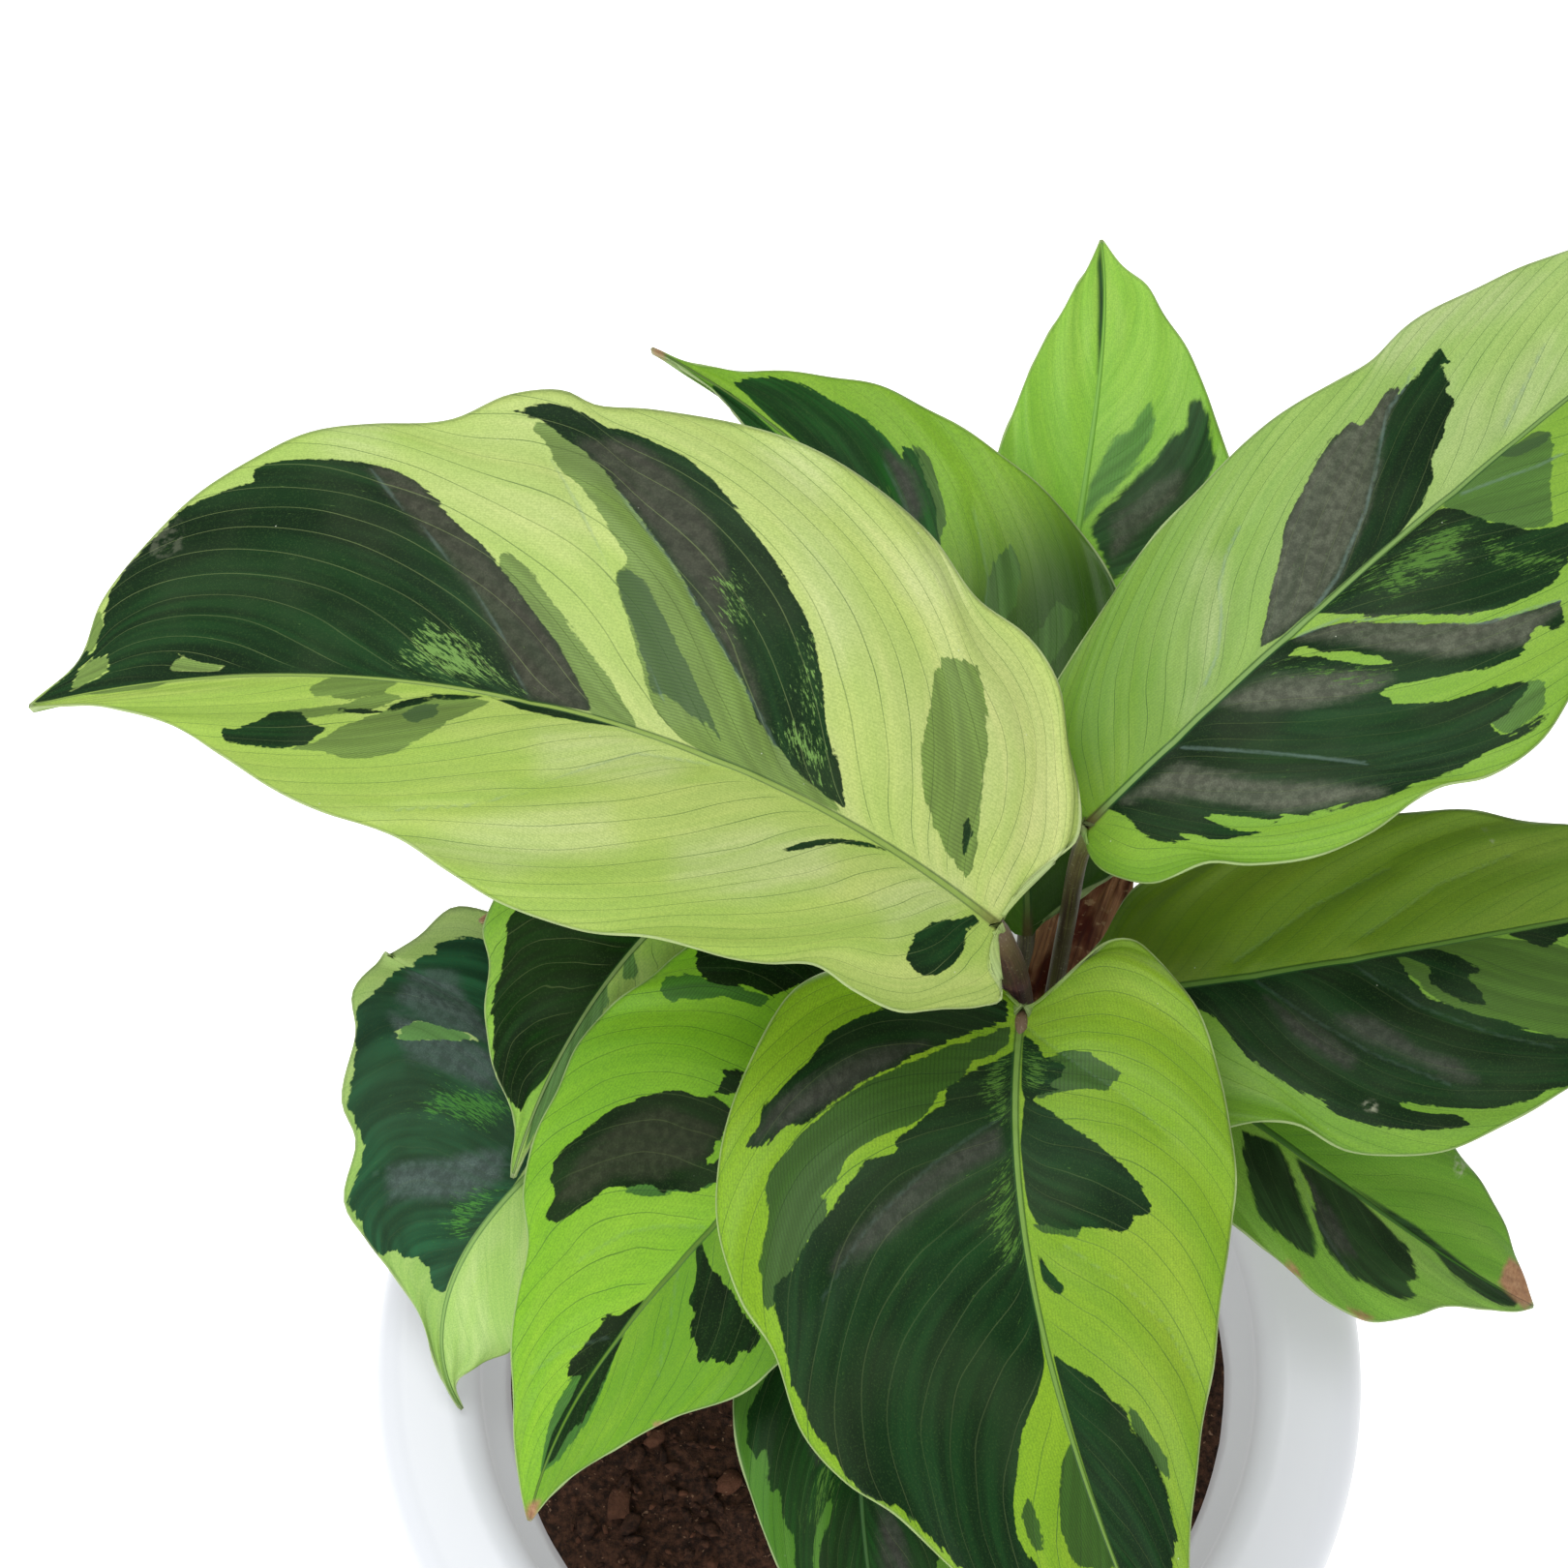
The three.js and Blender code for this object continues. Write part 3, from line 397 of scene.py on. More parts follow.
        "olive_colour": (84, 140, 54), "rib": (140, 196, 84), "rib_edge": (108, 166, 62), "soft": 0.7,
        "crisp": 0.4, "dark_colour": (42, 80, 42), "sheen_colour": (98, 106, 90),
        "left": [-6, 5, -9, 13, -2, 22, 15, 26, 32, 25, 47, 22, 62, 19, 77, 15, 92, 9, 103, 4],
        "right": [-6, -5, -10, -15, -4, -27, 12, -35, 32, -37, 46, -36, 57, -32, 67, -27, 79, -21,
            90, -14, 97, -10, 104, -4],
        "dark": [
            [72, 0.5, 85, 1.5, 95, 1.6, 104, 1.7, 110, 0.5, 95, 0, 80, 0],
            [22, -10, 34, -2.8, 39, -5.3, 45, -10, 52, -15, 59, -19, 60, -22, 67, -22, 68, -24,
             64, -27, 59, -28, 54, -30, 45, -27, 35, -20, 25, -13],
        ],
        "olive": [
            [34, -0.3, 45, -1.2, 52, -3.7, 57, -5.3, 59, -9, 62, -10, 66, -13, 60, -14.5, 52, -12,
             45, -8, 40, -3.7],
        ],
        "grey": [
            [28, -9, 36, -8, 46, -16, 50, -22, 44, -22, 34, -14],
        ],
    },
    "leaf_09": {
        "joint": (53, 63, 255), "length": 185, "sweep": 2.0, "heading": (1, 13, 20),
        "pitch": (18, -5, -25), "roll": (0, 0), "fold": (8, 8), "curl": (10, 10), "drift": (0.24, 0.2),
        "ground": ((116, 148, 30), (138, 174, 66), (122, 166, 50), (138, 186, 78)),
        "olive_colour": (76, 112, 40), "rib": (100, 142, 54), "rib_edge": (40, 84, 34), "crisp": 0.6,
        "left": [-4, 3, -4, 9, 1, 15, 9, 24, 20, 28, 40, 32, 60, 33, 77, 32, 95, 29, 112, 23, 132, 18,
            152, 12, 170, 6],
        "right": [-6, -3, -10, -12, -7, -24, 3, -32, 16, -36, 30, -36, 38, -38, 46, -45, 55, -48,
            66, -49, 80, -45, 96, -39, 116, -34, 140, -25, 163, -12],
        "dark": [
            [17, -0.4, 19.5, -5.3, 22, -7, 25, -10, 27, -14.5, 29.5, -20, 34, -25, 39, -30, 44, -34,
             45, -37, 50, -39.5, 55, -42, 62, -44, 69, -44.5, 71, -44, 69, -41, 64, -40, 59, -38,
             58, -35, 62, -37, 69, -39.5, 77, -41, 85, -41, 89, -39, 94, -39.5, 110, -33, 130, -25,
             112, -26, 97, -29, 90, -25, 84, -21, 79, -19, 74, -15, 70, -12, 68, -7, 66, -0.4],
            [66, -0.5, 70, -3, 73, -6, 71.4, -9, 75, -13, 79, -16, 82, -17, 82, -13, 79.5, -9, 84, -9,
             79.5, -4, 75, -0.8],
            [92, -0.6, 97, -4, 100, -6, 107, -3, 112, -0.6],
            [116, -10, 126, -14, 140, -14, 150, -10, 136, -18, 122, -18],
        ],
        "olive": [
            [64, -0.5, 70, -10, 74, -15, 79, -19, 84, -21, 90, -25, 97, -29, 108, -26, 112, -16,
             104, -6, 88, -0.5],
        ],
        "grey": [
            [50, -14, 57, -15, 62, -20, 65, -25, 72, -29, 75, -34, 70, -32, 62, -25, 55, -20],
            [36, -6, 44, -14, 52, -24, 50, -26, 40, -16],
        ],
        "crease": [
            [34, -1, 44, -12, 56, -24, 70, -34],
            [56, -1, 68, -14, 82, -24, 94, -30],
            [30, 4, 50, 14, 70, 20],
            [60, 5, 80, 14, 100, 18],
        ],
        "scar": [
            [50.6, -36, 52.4, -34, 54.4, -35.4, 53, -38.4],
            [94, 25.4, 95.6, 25, 95.4, 23],
            [94.4, 22, 96, 21.6, 95, 20.4],
        ],
    },
    "leaf_10": {
        "joint": (61, 60, 230), "length": 119, "sweep": 2.0, "heading": (-30, -31, -9),
        "pitch": (5, -20, -40), "roll": (0, 0), "fold": (8, 8), "curl": (8, 8), "drift": (0.2, 0.2),
        "ground": ((106, 158, 42), (130, 182, 64), (136, 186, 68), (148, 194, 88)),
        "olive_colour": (60, 104, 40), "rib": (70, 118, 44), "rib_edge": (36, 76, 32), "crisp": 0.5,
        "soft": 0.5, "dark_colour": (40, 68, 36),
        "left": [-6, 5, -8, 14, 2, 24, 22, 30, 45, 31, 62, 28, 78, 24, 90, 20, 100, 16, 110, 9],
        "right": [-6, -5, -8, -13, 2, -21, 18, -25, 38, -25, 52, -25, 65, -27, 77, -25, 86, -18,
            92, -12, 103, -7, 112, -4],
        "dark": [
            [32, -3.7, 35, -9, 40, -15, 45, -19.5, 52, -20, 60, -20, 59, -17, 55, -13, 50, -9,
             45, -3.7, 40, -1.2],
            [45, -1.2, 52, -5.3, 57, -12, 62, -16, 70, -18, 79, -17, 84, -15, 85, -13, 82, -12, 84, -9,
             79, -3.7, 70, -1.7, 62, -0.3],
            [60, 1, 79, 2.2, 89, 1.3, 100, 0.4, 114, -0.3, 112, -2.8, 107, -4, 100, -3.7, 92, -2.8,
             85, -0.3],
        ],
        "olive": [
            [44, -4, 50, -8, 56, -13, 61, -18, 56, -20, 48, -14],
        ],
        "grey": [
            [50, -4, 60, -8, 68, -13, 64, -15, 56, -10],
        ],
        "crease": [
            [48, -4, 58, -12, 70, -18],
        ],
        "scar": [
            [108.4, 6.4, 112, 6.6, 117, 2.2, 118, 0.6, 112.8, 1, 109.4, 3.8],
            [79.6, 22.6, 85, 20.6, 84, 17.4, 80.6, 18.4],
        ],
        "brown": [
            [107, 8, 113, 8, 119, 1, 116, -2, 106, 1],
            [71, -25.4, 78, -23, 76, -26.4],
            [55, -24, 60, -25, 57, -27],
        ],
    },
    "leaf_11": {
        "joint": (36, 80, 250), "length": 187, "sweep": 2.0, "heading": (88, 124, 136),
        "pitch": (31, 4.5, -24), "roll": (0, 0), "fold": (8, 8), "curl": (8, 8), "drift": (0.2, 0.2),
        "crisp": 0.5, "sheen_bands": 0.25, "turn": (0.36, 0.56), "dark_colour": (28, 74, 28),
        # The right half's dark base colour, held back along the blade by turn, is painted shade from
        # the leaves above.
        "ground": ((86, 130, 30), (116, 172, 52), (46, 80, 8), (148, 194, 58)),
        "olive_colour": (66, 108, 32), "rib": (110, 140, 70), "rib_edge": (50, 92, 40),
        "left": [0.5, 3, 4, 6, 10, 11, 20, 17, 32, 23, 46, 29, 62, 32, 87, 30, 113, 20.5, 133, 10.5,
            151, 4, 168, 1.3],
        "right": [3, -3, 6, -6.5, 9.5, -12, 13, -20, 20, -28, 38, -34, 58, -38, 77, -39, 91, -37,
            103, -33.5, 118, -29.5, 130, -25.5, 142, -18.5, 155, -11, 165, -4.5, 176, -1.2],
        "dark": [
            [89, -6, 95, -10, 99, -12.5, 103, -15, 110, -17.5, 115, -19, 117, -17.5, 113, -15,
             120, -16, 129, -16, 137, -14, 146, -12.5, 153, -10, 158, -5.5, 160, -3, 151, -1.6,
             144, -1, 120, -1, 105, -2, 89, -3],
            [104, 3, 118, 2.4, 132, 1.4, 146, 0.8, 160, -0.6, 164, 0.8, 158, 3, 151, 4.5, 140, 7,
             126, 10, 108, 15],
        ],
        "olive": [
            [56, -6, 62, -12, 69, -25, 65, -29, 58, -18],
            [70, -8, 75, -9, 83, -17, 85, -23, 79, -22, 72, -16],
            [89, -4, 97, -14, 110, -20, 116, -20, 108, -12, 97, -4],
            [42, -4, 52, -16, 56, -29, 50, -27, 42, -12],
        ],
        "grey": [
            [100, -6, 110, -10, 118, -14, 110, -15, 102, -12],
        ],
        "mottle": [
            [104, -5, 112, -6, 110, -9],
        ],
        "crease": [
            [89, -2, 104, -8, 118, -12],
            [67, -4, 81, -14, 97, -21],
        ],
        "brown": [
            [181, 1, 187, 1, 187, -1, 183, -1],
        ],
    },
    "leaf_12": {
        "joint": (-29, 108, 252), "length": 68, "sweep": 1.6, "heading": (190, 203, 182),
        "pitch": (5, -10, -30), "roll": (0, 0), "fold": (8, 8), "curl": (8, 8), "drift": (0.2, 0.2),
        "ground": ((160, 196, 110), (170, 200, 130), (150, 190, 96), (168, 200, 124)),
        "olive_colour": (90, 140, 60), "rib": (150, 186, 110), "rib_edge": (90, 140, 70), "crisp": 0.4,
        "left": [-3, 3, -4, 8, 4, 13, 18, 14, 34, 12, 50, 7],
        "right": [-3, -3, -4, -8, 4, -13, 18, -15, 34, -13, 50, -7],
        "dark": [
            [14, -0.5, 22, -8, 34, -9, 40, -5, 34, -0.5],
        ],
        "olive": [
            [20, 0.5, 28, 6, 38, 5, 34, 0.5],
        ],
        "brown": [
            [60, 2, 68, 1, 68, -1, 61, -2],
        ],
    },
}

# Dried sheaths of old leaves, and where each petiole leaves the soil and bows, in millimetres.
SHEATHS = {
    "dry_sheath_1": {
        "joint": (45, 72, 172.4), "length": 92, "sweep": 1.3, "heading": (74, 66, 58),
        "pitch": (80, 68, 50), "roll": (0, 10), "fold": (8, 30), "curl": (-10, -70),
        "left": [0, 3, 8, 5, 20, 7, 36, 12, 58, 15, 78, 9],
        "right": [0, -4, 8, -8, 30, -11, 55, -12, 78, -8],
    },
    "dry_sheath_2": {
        "joint": (63, 50, 172.4), "length": 62, "sweep": 1.3, "heading": (100, 92, 80),
        "pitch": (74, 56, 36), "roll": (0, -10), "fold": (30, 30), "curl": (-70, -70),
        "left": [0, 4, 8, 7, 22, 9, 36, 8, 46, 4],
        "right": [0, -4, 8, -7, 22, -10, 36, -8, 46, -4],
    },
}
PETIOLES = {
    "01": ((31, 57), (33, 57, 262)), "02": ((42, 65), (45, 82, 250)),
    "03": ((36, 47), (34, 48, 240)), "04": ((-12, 34), (-9, 42, 225)),
    "05": ((-6, 25), (0, 28, 210)), "06": ((-19, 40), (-27, 66, 225)),
    "07": ((-24, 27), (-40, 38, 212)), "08": ((36, 76), (40, 104, 225)),
    "09": ((48, 57), (51, 60, 215)), "10": ((47, 46), (57, 53, 205)),
    "11": ((32, 67), (34, 73, 222)), "12": ((-10, 45), (-18, 75, 215)),
}
PURPLE_PETIOLES = ("01", "03")
PETIOLE_RADIUS = {"01": 3.2, "02": 2.1}

POT = {"height": 190, "rim": 117, "base": 84, "chamfer": 4, "mouth": 92, "soil_line": 86,
       "inner_base": 69, "floor": 9, "round": 8}
SOIL_LEVEL = 172
JOINT_WIDTH = 2.4
TIP_WIDTH = 0.8
CURL_SPAN = 50
RIB_THICKNESS = 2.2
BLADE_THICKNESS = 0.44
SHEATH_THICKNESS = 0.5
PLAIN_RADIUS = 1.75  # of a petiole not in PETIOLE_RADIUS
VEIN_RATE = 2.0
MARGIN_STEPS = 32
STEM_STEPS = 24
CRUMBS = 900
NONE = -60.0  # further outside than any mark matters
GRIDS = {"leaf_01": (96, 170), "leaf_02": (96, 170), "leaf_03": (96, 150), "leaf_04": (84, 130),
         "leaf_09": (84, 140), "leaf_11": (76, 130)}

# Leaf colours are listed as they look under the lights, and LEAF_TONE takes the lights' share out.
LEAF_TONE = (0.75, 0.75, 0.71, 1.0)
WHITE = (1, 1, 1, 1)
POT_GLOW = 0.29
FLOOR_GLOW = 0.58
SKY_STRENGTH = 0.6
CAMERA_LENS, CAMERA_SENSOR = 85.0, 36.0  # millimetres
CAMERA_SPOT = (-0.020, -0.2487, 1.0377)  # metres
CAMERA_TILT = 25


def colour(red, green, blue):
    """Linear colour of an sRGB one given from 0 to 255."""
    def linear(value):
        value = value / 255
        return value / 12.92 if value <= 0.04045 else ((value + 0.055) / 1.055) ** 2.4
    return (linear(red), linear(green), linear(blue), 1.0)


def through_three(values, u):
    start, middle, end = values
    return start * (1 - u) * (1 - 2 * u) + 4 * middle * u * (1 - u) + end * u * (2 * u - 1)


def smooth(low, high, value):
    t = np.clip((value - low) / (high - low), 0, 1)
    return t * t * (3 - 2 * t)


def pairs(values):
    return np.reshape(np.array(values, float), (-1, 2))


class Blade:
    """A blade's surface: at(x, y) lays flat points on it, in millimetres."""

    def __init__(self, leaf):
        self.leaf = leaf
        self.length = leaf["length"]
        self.stations = np.linspace(0, self.length, 241)
        middle = (self.stations[1:] + self.stations[:-1]) / 2
        strides = self.along(middle) * (self.stations[1] - self.stations[0])
        start = np.array(leaf["joint"], float)
        self.midrib = np.vstack([start, start + np.cumsum(strides, axis=0)])

    def angles(self, x):
        u = np.clip(x / self.length, 0, 1)
        heading = np.radians(through_three(self.leaf["heading"], u))
        pitch = np.radians(through_three(self.leaf["pitch"], u))
        roll = np.radians(self.leaf["roll"][0] + (self.leaf["roll"][1] - self.leaf["roll"][0]) * u)
        return heading, pitch, roll

    def along(self, x):
        heading, pitch, _ = self.angles(np.asarray(x, float))
        level = np.cos(pitch)
        return np.stack([level * np.cos(heading), level * np.sin(heading), np.sin(pitch)], -1)

    def axes(self, x):
        heading, _, roll = self.angles(x)
        along = self.along(x)
        across = np.stack([-np.sin(heading), np.cos(heading), np.zeros_like(heading)], -1)
        up = np.cross(along, across)
        roll = roll[..., None]
        cos, sin = np.cos(roll), np.sin(roll)
        return along, cos * across + sin * up, cos * up - sin * across

    def at(self, x, y, lift=0.0):
        x, y = np.asarray(x, float), np.asarray(y, float)
        on_rib = np.clip(x, 0, self.length)
        point = np.stack([np.interp(on_rib, self.stations, self.midrib[:, k]) for k in range(3)], -1)
        along, across, up = self.axes(x)
        point = point + along * (x - on_rib)[..., None]
        fold = np.radians(np.where(y >= 0, self.leaf["fold"][0], self.leaf["fold"][1]))
        turn = np.radians(np.where(y >= 0, self.leaf["curl"][0], self.leaf["curl"][1])) / CURL_SPAN
        reach = np.abs(y)
        outward = (np.sin(fold) - np.sin(fold - turn * reach)) / turn
        rise = (np.cos(fold - turn * reach) - np.cos(fold)) / turn
        return point + across * (np.sign(y) * outward)[..., None] + up * (rise + lift)[..., None]


def smooth_curve(points, steps):
    """A centripetal Catmull-Rom curve through points, and the way walked to each of its points."""
    points = np.vstack([2 * points[0] - points[1], points, 2 * points[-1] - points[-2]])
    t = np.linspace(0, 1, steps + 1)[:-1, None]
    curve = []
    for a, b, c, d in zip(points, points[1:], points[2:], points[3:]):
        first, second, third = (max(np.linalg.norm(q - p), 1e-4) ** 0.5
                                for p, q in ((a, b), (b, c), (c, d)))
        leave = ((b - a) / first - (c - a) / (first + second) + (c - b) / second) * second
        arrive = ((c - b) / second - (d - b) / (second + third) + (d - c) / third) * second
        curve.append(b + leave * t + (3 * (c - b) - 2 * leave - arrive) * t**2
                     + (2 * (b - c) + leave + arrive) * t**3)
    curve = np.vstack([*curve, points[-2]])
    return curve, np.concatenate([[0], np.cumsum(np.linalg.norm(np.diff(curve, axis=0), axis=1))])


def margins(leaf):
    """The left and the right margin, each with the share of its way walked to each point."""
    sides = {}
    for sign, side in ((1, "left"), (-1, "right")):
        start, end = (0, sign * JOINT_WIDTH / 2), (leaf["length"], sign * TIP_WIDTH / 2)
        curve, walked = smooth_curve(np.vstack([start, pairs(leaf[side]), end]), MARGIN_STEPS)
        sides[sign] = (walked / walked[-1], curve)
    return sides


def from_midrib(leaf, sides, side, v):
    """Where the midrib starts and the margin ends the cross line at v, on the given sides."""
    edge = np.zeros((len(v), 2))
    for sign, (walked, curve) in sides.items():
        pick = (side < 0) == (sign < 0)
        edge[pick] = np.stack([np.interp(v[pick], walked, curve[:, k]) for k in range(2)], -1)
    return leaf["length"] * v ** leaf["sweep"], edge


def inside(areas, x, y):
    """Signed distance to the nearest edge of a set of areas, positive inside."""
    best = np.full(x.shape, NONE)
    for area in areas:
        ring = pairs(area)
        nearest = np.full(x.shape, 1e9)
        within = np.zeros(x.shape, bool)
        for (ax, ay), (bx, by) in zip(ring, np.roll(ring, -1, axis=0)):
            ex, ey = bx - ax, by - ay
            t = np.clip(((x - ax) * ex + (y - ay) * ey) / max(ex * ex + ey * ey, 1e-9), 0, 1)
            nearest = np.minimum(nearest, np.hypot(x - ax - ex * t, y - ay - ey * t))
            if ay != by:
                within ^= ((ay > y) != (by > y)) & (x < ax + (y - ay) * ex / ey)
        best = np.maximum(best, np.where(within, nearest, -nearest))
    return best


def near(lines, x, y):
    """Minus the distance to the nearest of a set of lines."""
    best = np.full(x.shape, NONE)
    for line in lines:
        for (ax, ay), (bx, by) in zip(pairs(line), pairs(line)[1:]):
            ex, ey = bx - ax, by - ay
            t = np.clip(((x - ax) * ex + (y - ay) * ey) / (ex * ex + ey * ey), 0, 1)
            best = np.maximum(best, -np.hypot(x - ax - ex * t, y - ay - ey * t))
    return best


def add_object(name, bm):
    mesh = bpy.data.meshes.new(name)
    bm.to_mesh(mesh)
    bm.free()
    obj = bpy.data.objects.new(name, mesh)
    bpy.context.scene.collection.objects.link(obj)
    mesh.polygons.foreach_set("use_smooth", [True] * len(mesh.polygons))
    return obj


def grid_object(name, columns, rows, shape):
    """A grid moved into shape: shape(u, v) takes columns' and rows' fractions and returns points
    in millimetres and a dict of attributes."""
    bm = bmesh.new()
    bmesh.ops.create_grid(bm, x_segments=columns, y_segments=rows, size=1.0)
    flat = np.array([v.co[:2] for v in bm.verts])
    points, values = shape((flat[:, 0] + 1) / 2, (flat[:, 1] + 1) / 2)
    for vert, point in zip(bm.verts, points * MM):
        vert.co = point
    obj = add_object(name, bm)
    for key, value in values.items():
        vector = value.ndim == 2
        attribute = obj.data.attributes.new(key, "FLOAT_VECTOR" if vector else "FLOAT", "POINT")
        numbers = np.ascontiguousarray(value, np.float32).ravel()
        attribute.data.foreach_set("vector" if vector else "value", numbers)
    return obj


class Shader:
    """Builds one material's nodes."""

    def __init__(self, name):
        self.material = bpy.data.materials.new(name)
        self.material.use_nodes = True
        self.tree = self.material.node_tree
        self.surface = self.tree.nodes["Principled BSDF"]

    def add(self, kind, feeds, **settings):
        node = self.tree.nodes.new(kind)
        for key, value in settings.items():
            setattr(node, key, value)
        self.feed(node, feeds)
        return node

    def feed(self, node, feeds):
        for key, value in feeds.items():
            if isinstance(value, bpy.types.NodeSocket):
                self.tree.links.new(value, node.inputs[key])
            else:
                node.inputs[key].default_value = value

    def math(self, operation, *values):
        return self.add("ShaderNodeMath", dict(enumerate(values)), operation=operation).outputs[0]

    def times(self, value, factor):
        return self.math("MULTIPLY", value, factor)

    def times_add(self, value, factor, more):
        return self.math("MULTIPLY_ADD", value, factor, more)

    def absolute(self, value):
        return self.math("ABSOLUTE", value)

    def centred(self, value):
        return self.math("SUBTRACT", value, 0.5)

    def mix(self, factor, first, second, blend="MIX"):
        feeds = {0: factor, 6: first, 7: second}
        return self.add("ShaderNodeMix", feeds, data_type="RGBA", blend_type=blend).outputs[2]

    def step(self, value, low, high, start=0.0, end=1.0):
        feeds = {"Value": value, "From Min": low, "From Max": high, "To Min": start, "To Max": end}
        return self.add("ShaderNodeMapRange", feeds, interpolation_type="SMOOTHSTEP").outputs[0]

    def attribute(self, name):
        return self.add("ShaderNodeAttribute", {}, attribute_name=name)

    def value(self, name):
        return self.attribute(name).outputs["Fac"]

    def parts(self, name):
        return self.add("ShaderNodeSeparateXYZ", {0: self.attribute(name).outputs["Vector"]}).outputs

    def vector(self, x, y, z=0.0):
        return self.add("ShaderNodeCombineXYZ", {0: x, 1: y, 2: z}).outputs[0]

    def noise(self, vector, scale, detail=3.0, roughness=0.5):
        feeds = {"Vector": vector, "Scale": scale, "Detail": detail, "Roughness": roughness}
        return self.add("ShaderNodeTexNoise", feeds).outputs["Fac"]

    def place(self):
        """Object coordinates in millimetres."""
        metres = self.add("ShaderNodeTexCoord", {}).outputs["Object"]
        feeds = {0: metres, 1: (1000.0, 1000.0, 1000.0)}
        return self.add("ShaderNodeVectorMath", feeds, operation="MULTIPLY").outputs[0]

    def finish(self, base, roughness, height=None, **sockets):
        """height is in millimetres."""
        feeds = {key.replace("_", " "): value for key, value in sockets.items()}
        feeds.update({"Base Color": base, "Roughness": roughness})
        if height is not None:
            bump = self.add("ShaderNodeBump", {"Height": height, "Distance": MM, "Strength": 1.0})
            feeds["Normal"] = bump.outputs[0]
        self.feed(self.surface, feeds)
        return self.material


def leaf_material(name, leaf, seed, underside=False):
    s = Shader(name)
    x, y, edge = s.parts("flat")
    drift, side, reach = s.parts("vein")
    flat = s.vector(x, y, seed)

    def veined(rate, across, stretch, detail, roughness=0.5, shift=0):
        """Noise drawn out along the side veins."""
        spot = s.vector(s.times(drift, rate), s.times(across, stretch), seed + shift)
        return s.noise(spot, 1.0, detail, roughness)

    streak = veined(60.0, reach, 0.03, 3.0)
    tatter = veined(70.0, side, 4.0, 3.0, 0.62)
    broad = veined(7.0, side, 1.8, 3.0)
    wander = veined(9.0, side, 1.6, 2.0)
    crumb = s.noise(flat, 0.9, 2.0)
    grain = s.noise(flat, 2.6, 2.0)
    tear = s.math("ADD", s.times(s.centred(tatter), 2.8), s.times(s.centred(crumb), 0.9))
    ragged = s.times(s.step(s.absolute(y), 0.5, 5.0), tear)
    soft = leaf.get("soft", 0.18)
    crisp = leaf.get("crisp", 1.0)

    def area(key, low=-soft, high=soft, rough=1.0):
        return s.step(s.math("MULTIPLY_ADD", ragged, rough, s.value(key)), low, high)

    def scaled(rgb, share=1.0):
        return colour(*(share * c for c in rgb))

    # Side veins are where the vein number passes a half; thin ones lie between them.
    number = s.times_add(wander, 1.2, s.times(drift, leaf["length"] ** 0.5 * VEIN_RATE))
    off_vein = s.absolute(s.centred(s.math("FRACT", number)))
    vein = s.times(s.step(off_vein, 0.004, 0.028, 1.0, 0.0), s.step(s.absolute(y), 1.0, 4.0))
    thin = s.absolute(s.centred(s.math("FRACT", s.times(number, 4.0))))
    ripple = s.math("SINE", s.times_add(crumb, 2.5, s.times(reach, 6.6)))
    hatch = s.step(ripple, -0.2, 0.9)

    # Ground: four shades, streaked along the veins, greener towards the margin, with painted sheen in
    # broad pale bands and painted highlights in any glare patches.
    tip = s.math("DIVIDE", x, float(leaf["length"]))
    left_base, left_tip, right_base, right_tip = (colour(*c) for c in leaf["ground"])
    turn = s.step(tip, *leaf["turn"]) if "turn" in leaf else tip
    right, left = s.mix(turn, right_base, right_tip), s.mix(turn, left_base, left_tip)
    ground = s.mix(s.step(y, -1.0, 1.0), right, left)
    greener = s.mix(1.0, ground, (0.78, 0.93, 0.55, 1.0), "MULTIPLY")
    ground = s.mix(s.step(broad, 0.38, 0.66, 0.7, 0.0), ground, greener)
    ground = s.mix(s.step(edge, 0.5, 9.0, 0.3, 0.0), ground, greener)
    paler = s.mix(1.0, ground, (1.24, 1.14, 1.26, 1.0), "MULTIPLY")
    ground = s.mix(s.step(streak, 0.42, 0.7, 0.0, 0.6), ground, paler)
    # Painted sheen: broad pale bands across the veins, where soft light catches the pleats.
    sheen_bands = veined(13.0, side, 2.2, 2.0, shift=9)
    ground = s.mix(s.step(sheen_bands, 0.46, 0.72, 0.0, leaf.get("sheen_bands", 0.7)), ground, paler)
    # Painted highlights: whitish patches over the glare areas.
    if "glare" in leaf:
        glare_highlight = s.step(s.value("glare"), -5.0, 4.0, 0.0, 0.34)
        glare_highlight = s.times(glare_highlight, s.step(streak, 0.3, 0.7, 0.45, 1.0))
        ground = s.mix(glare_highlight, ground, colour(226, 230, 190))
    for share in (s.step(grain, 0.32, 0.66, 0.28, 0.0), s.times(hatch, 0.11 * crisp),
                  s.step(thin, 0.0, 0.12, 0.1, 0.0)):
        ground = s.mix(share, ground, scaled(leaf["olive_colour"]))
    line = s.mix(0.8, ground, scaled(leaf["rib_edge"]))
    faint = s.step(streak, 0.3, 0.66, crisp, 0.55 * crisp)
    ground = s.mix(s.times(vein, faint), ground, line)

    # Olive areas, hatched by the fine cross veins.
    tone = leaf["olive_colour"]
    olive = s.mix(s.step(streak, 0.3, 0.7), scaled(tone, 0.92), scaled(tone, 1.12))
    olive = s.mix(s.times(hatch, 0.5 * crisp), olive, scaled(tone, 0.7))
    olive = s.mix(s.step(grain, 0.35, 0.7, 0.2, 0.0), olive, scaled(tone, 0.75))
    olive = s.mix(s.times(vein, 0.5 * crisp), olive, scaled(tone, 0.66))
    body = s.mix(s.times(area("olive"), 0.95), ground, olive)
    if "deep_olive" in leaf:
        deep = s.mix(s.times(hatch, 0.45), colour(62, 92, 50), colour(44, 70, 38))
        body = s.mix(s.times(area("deep_olive"), 0.85), body, deep)
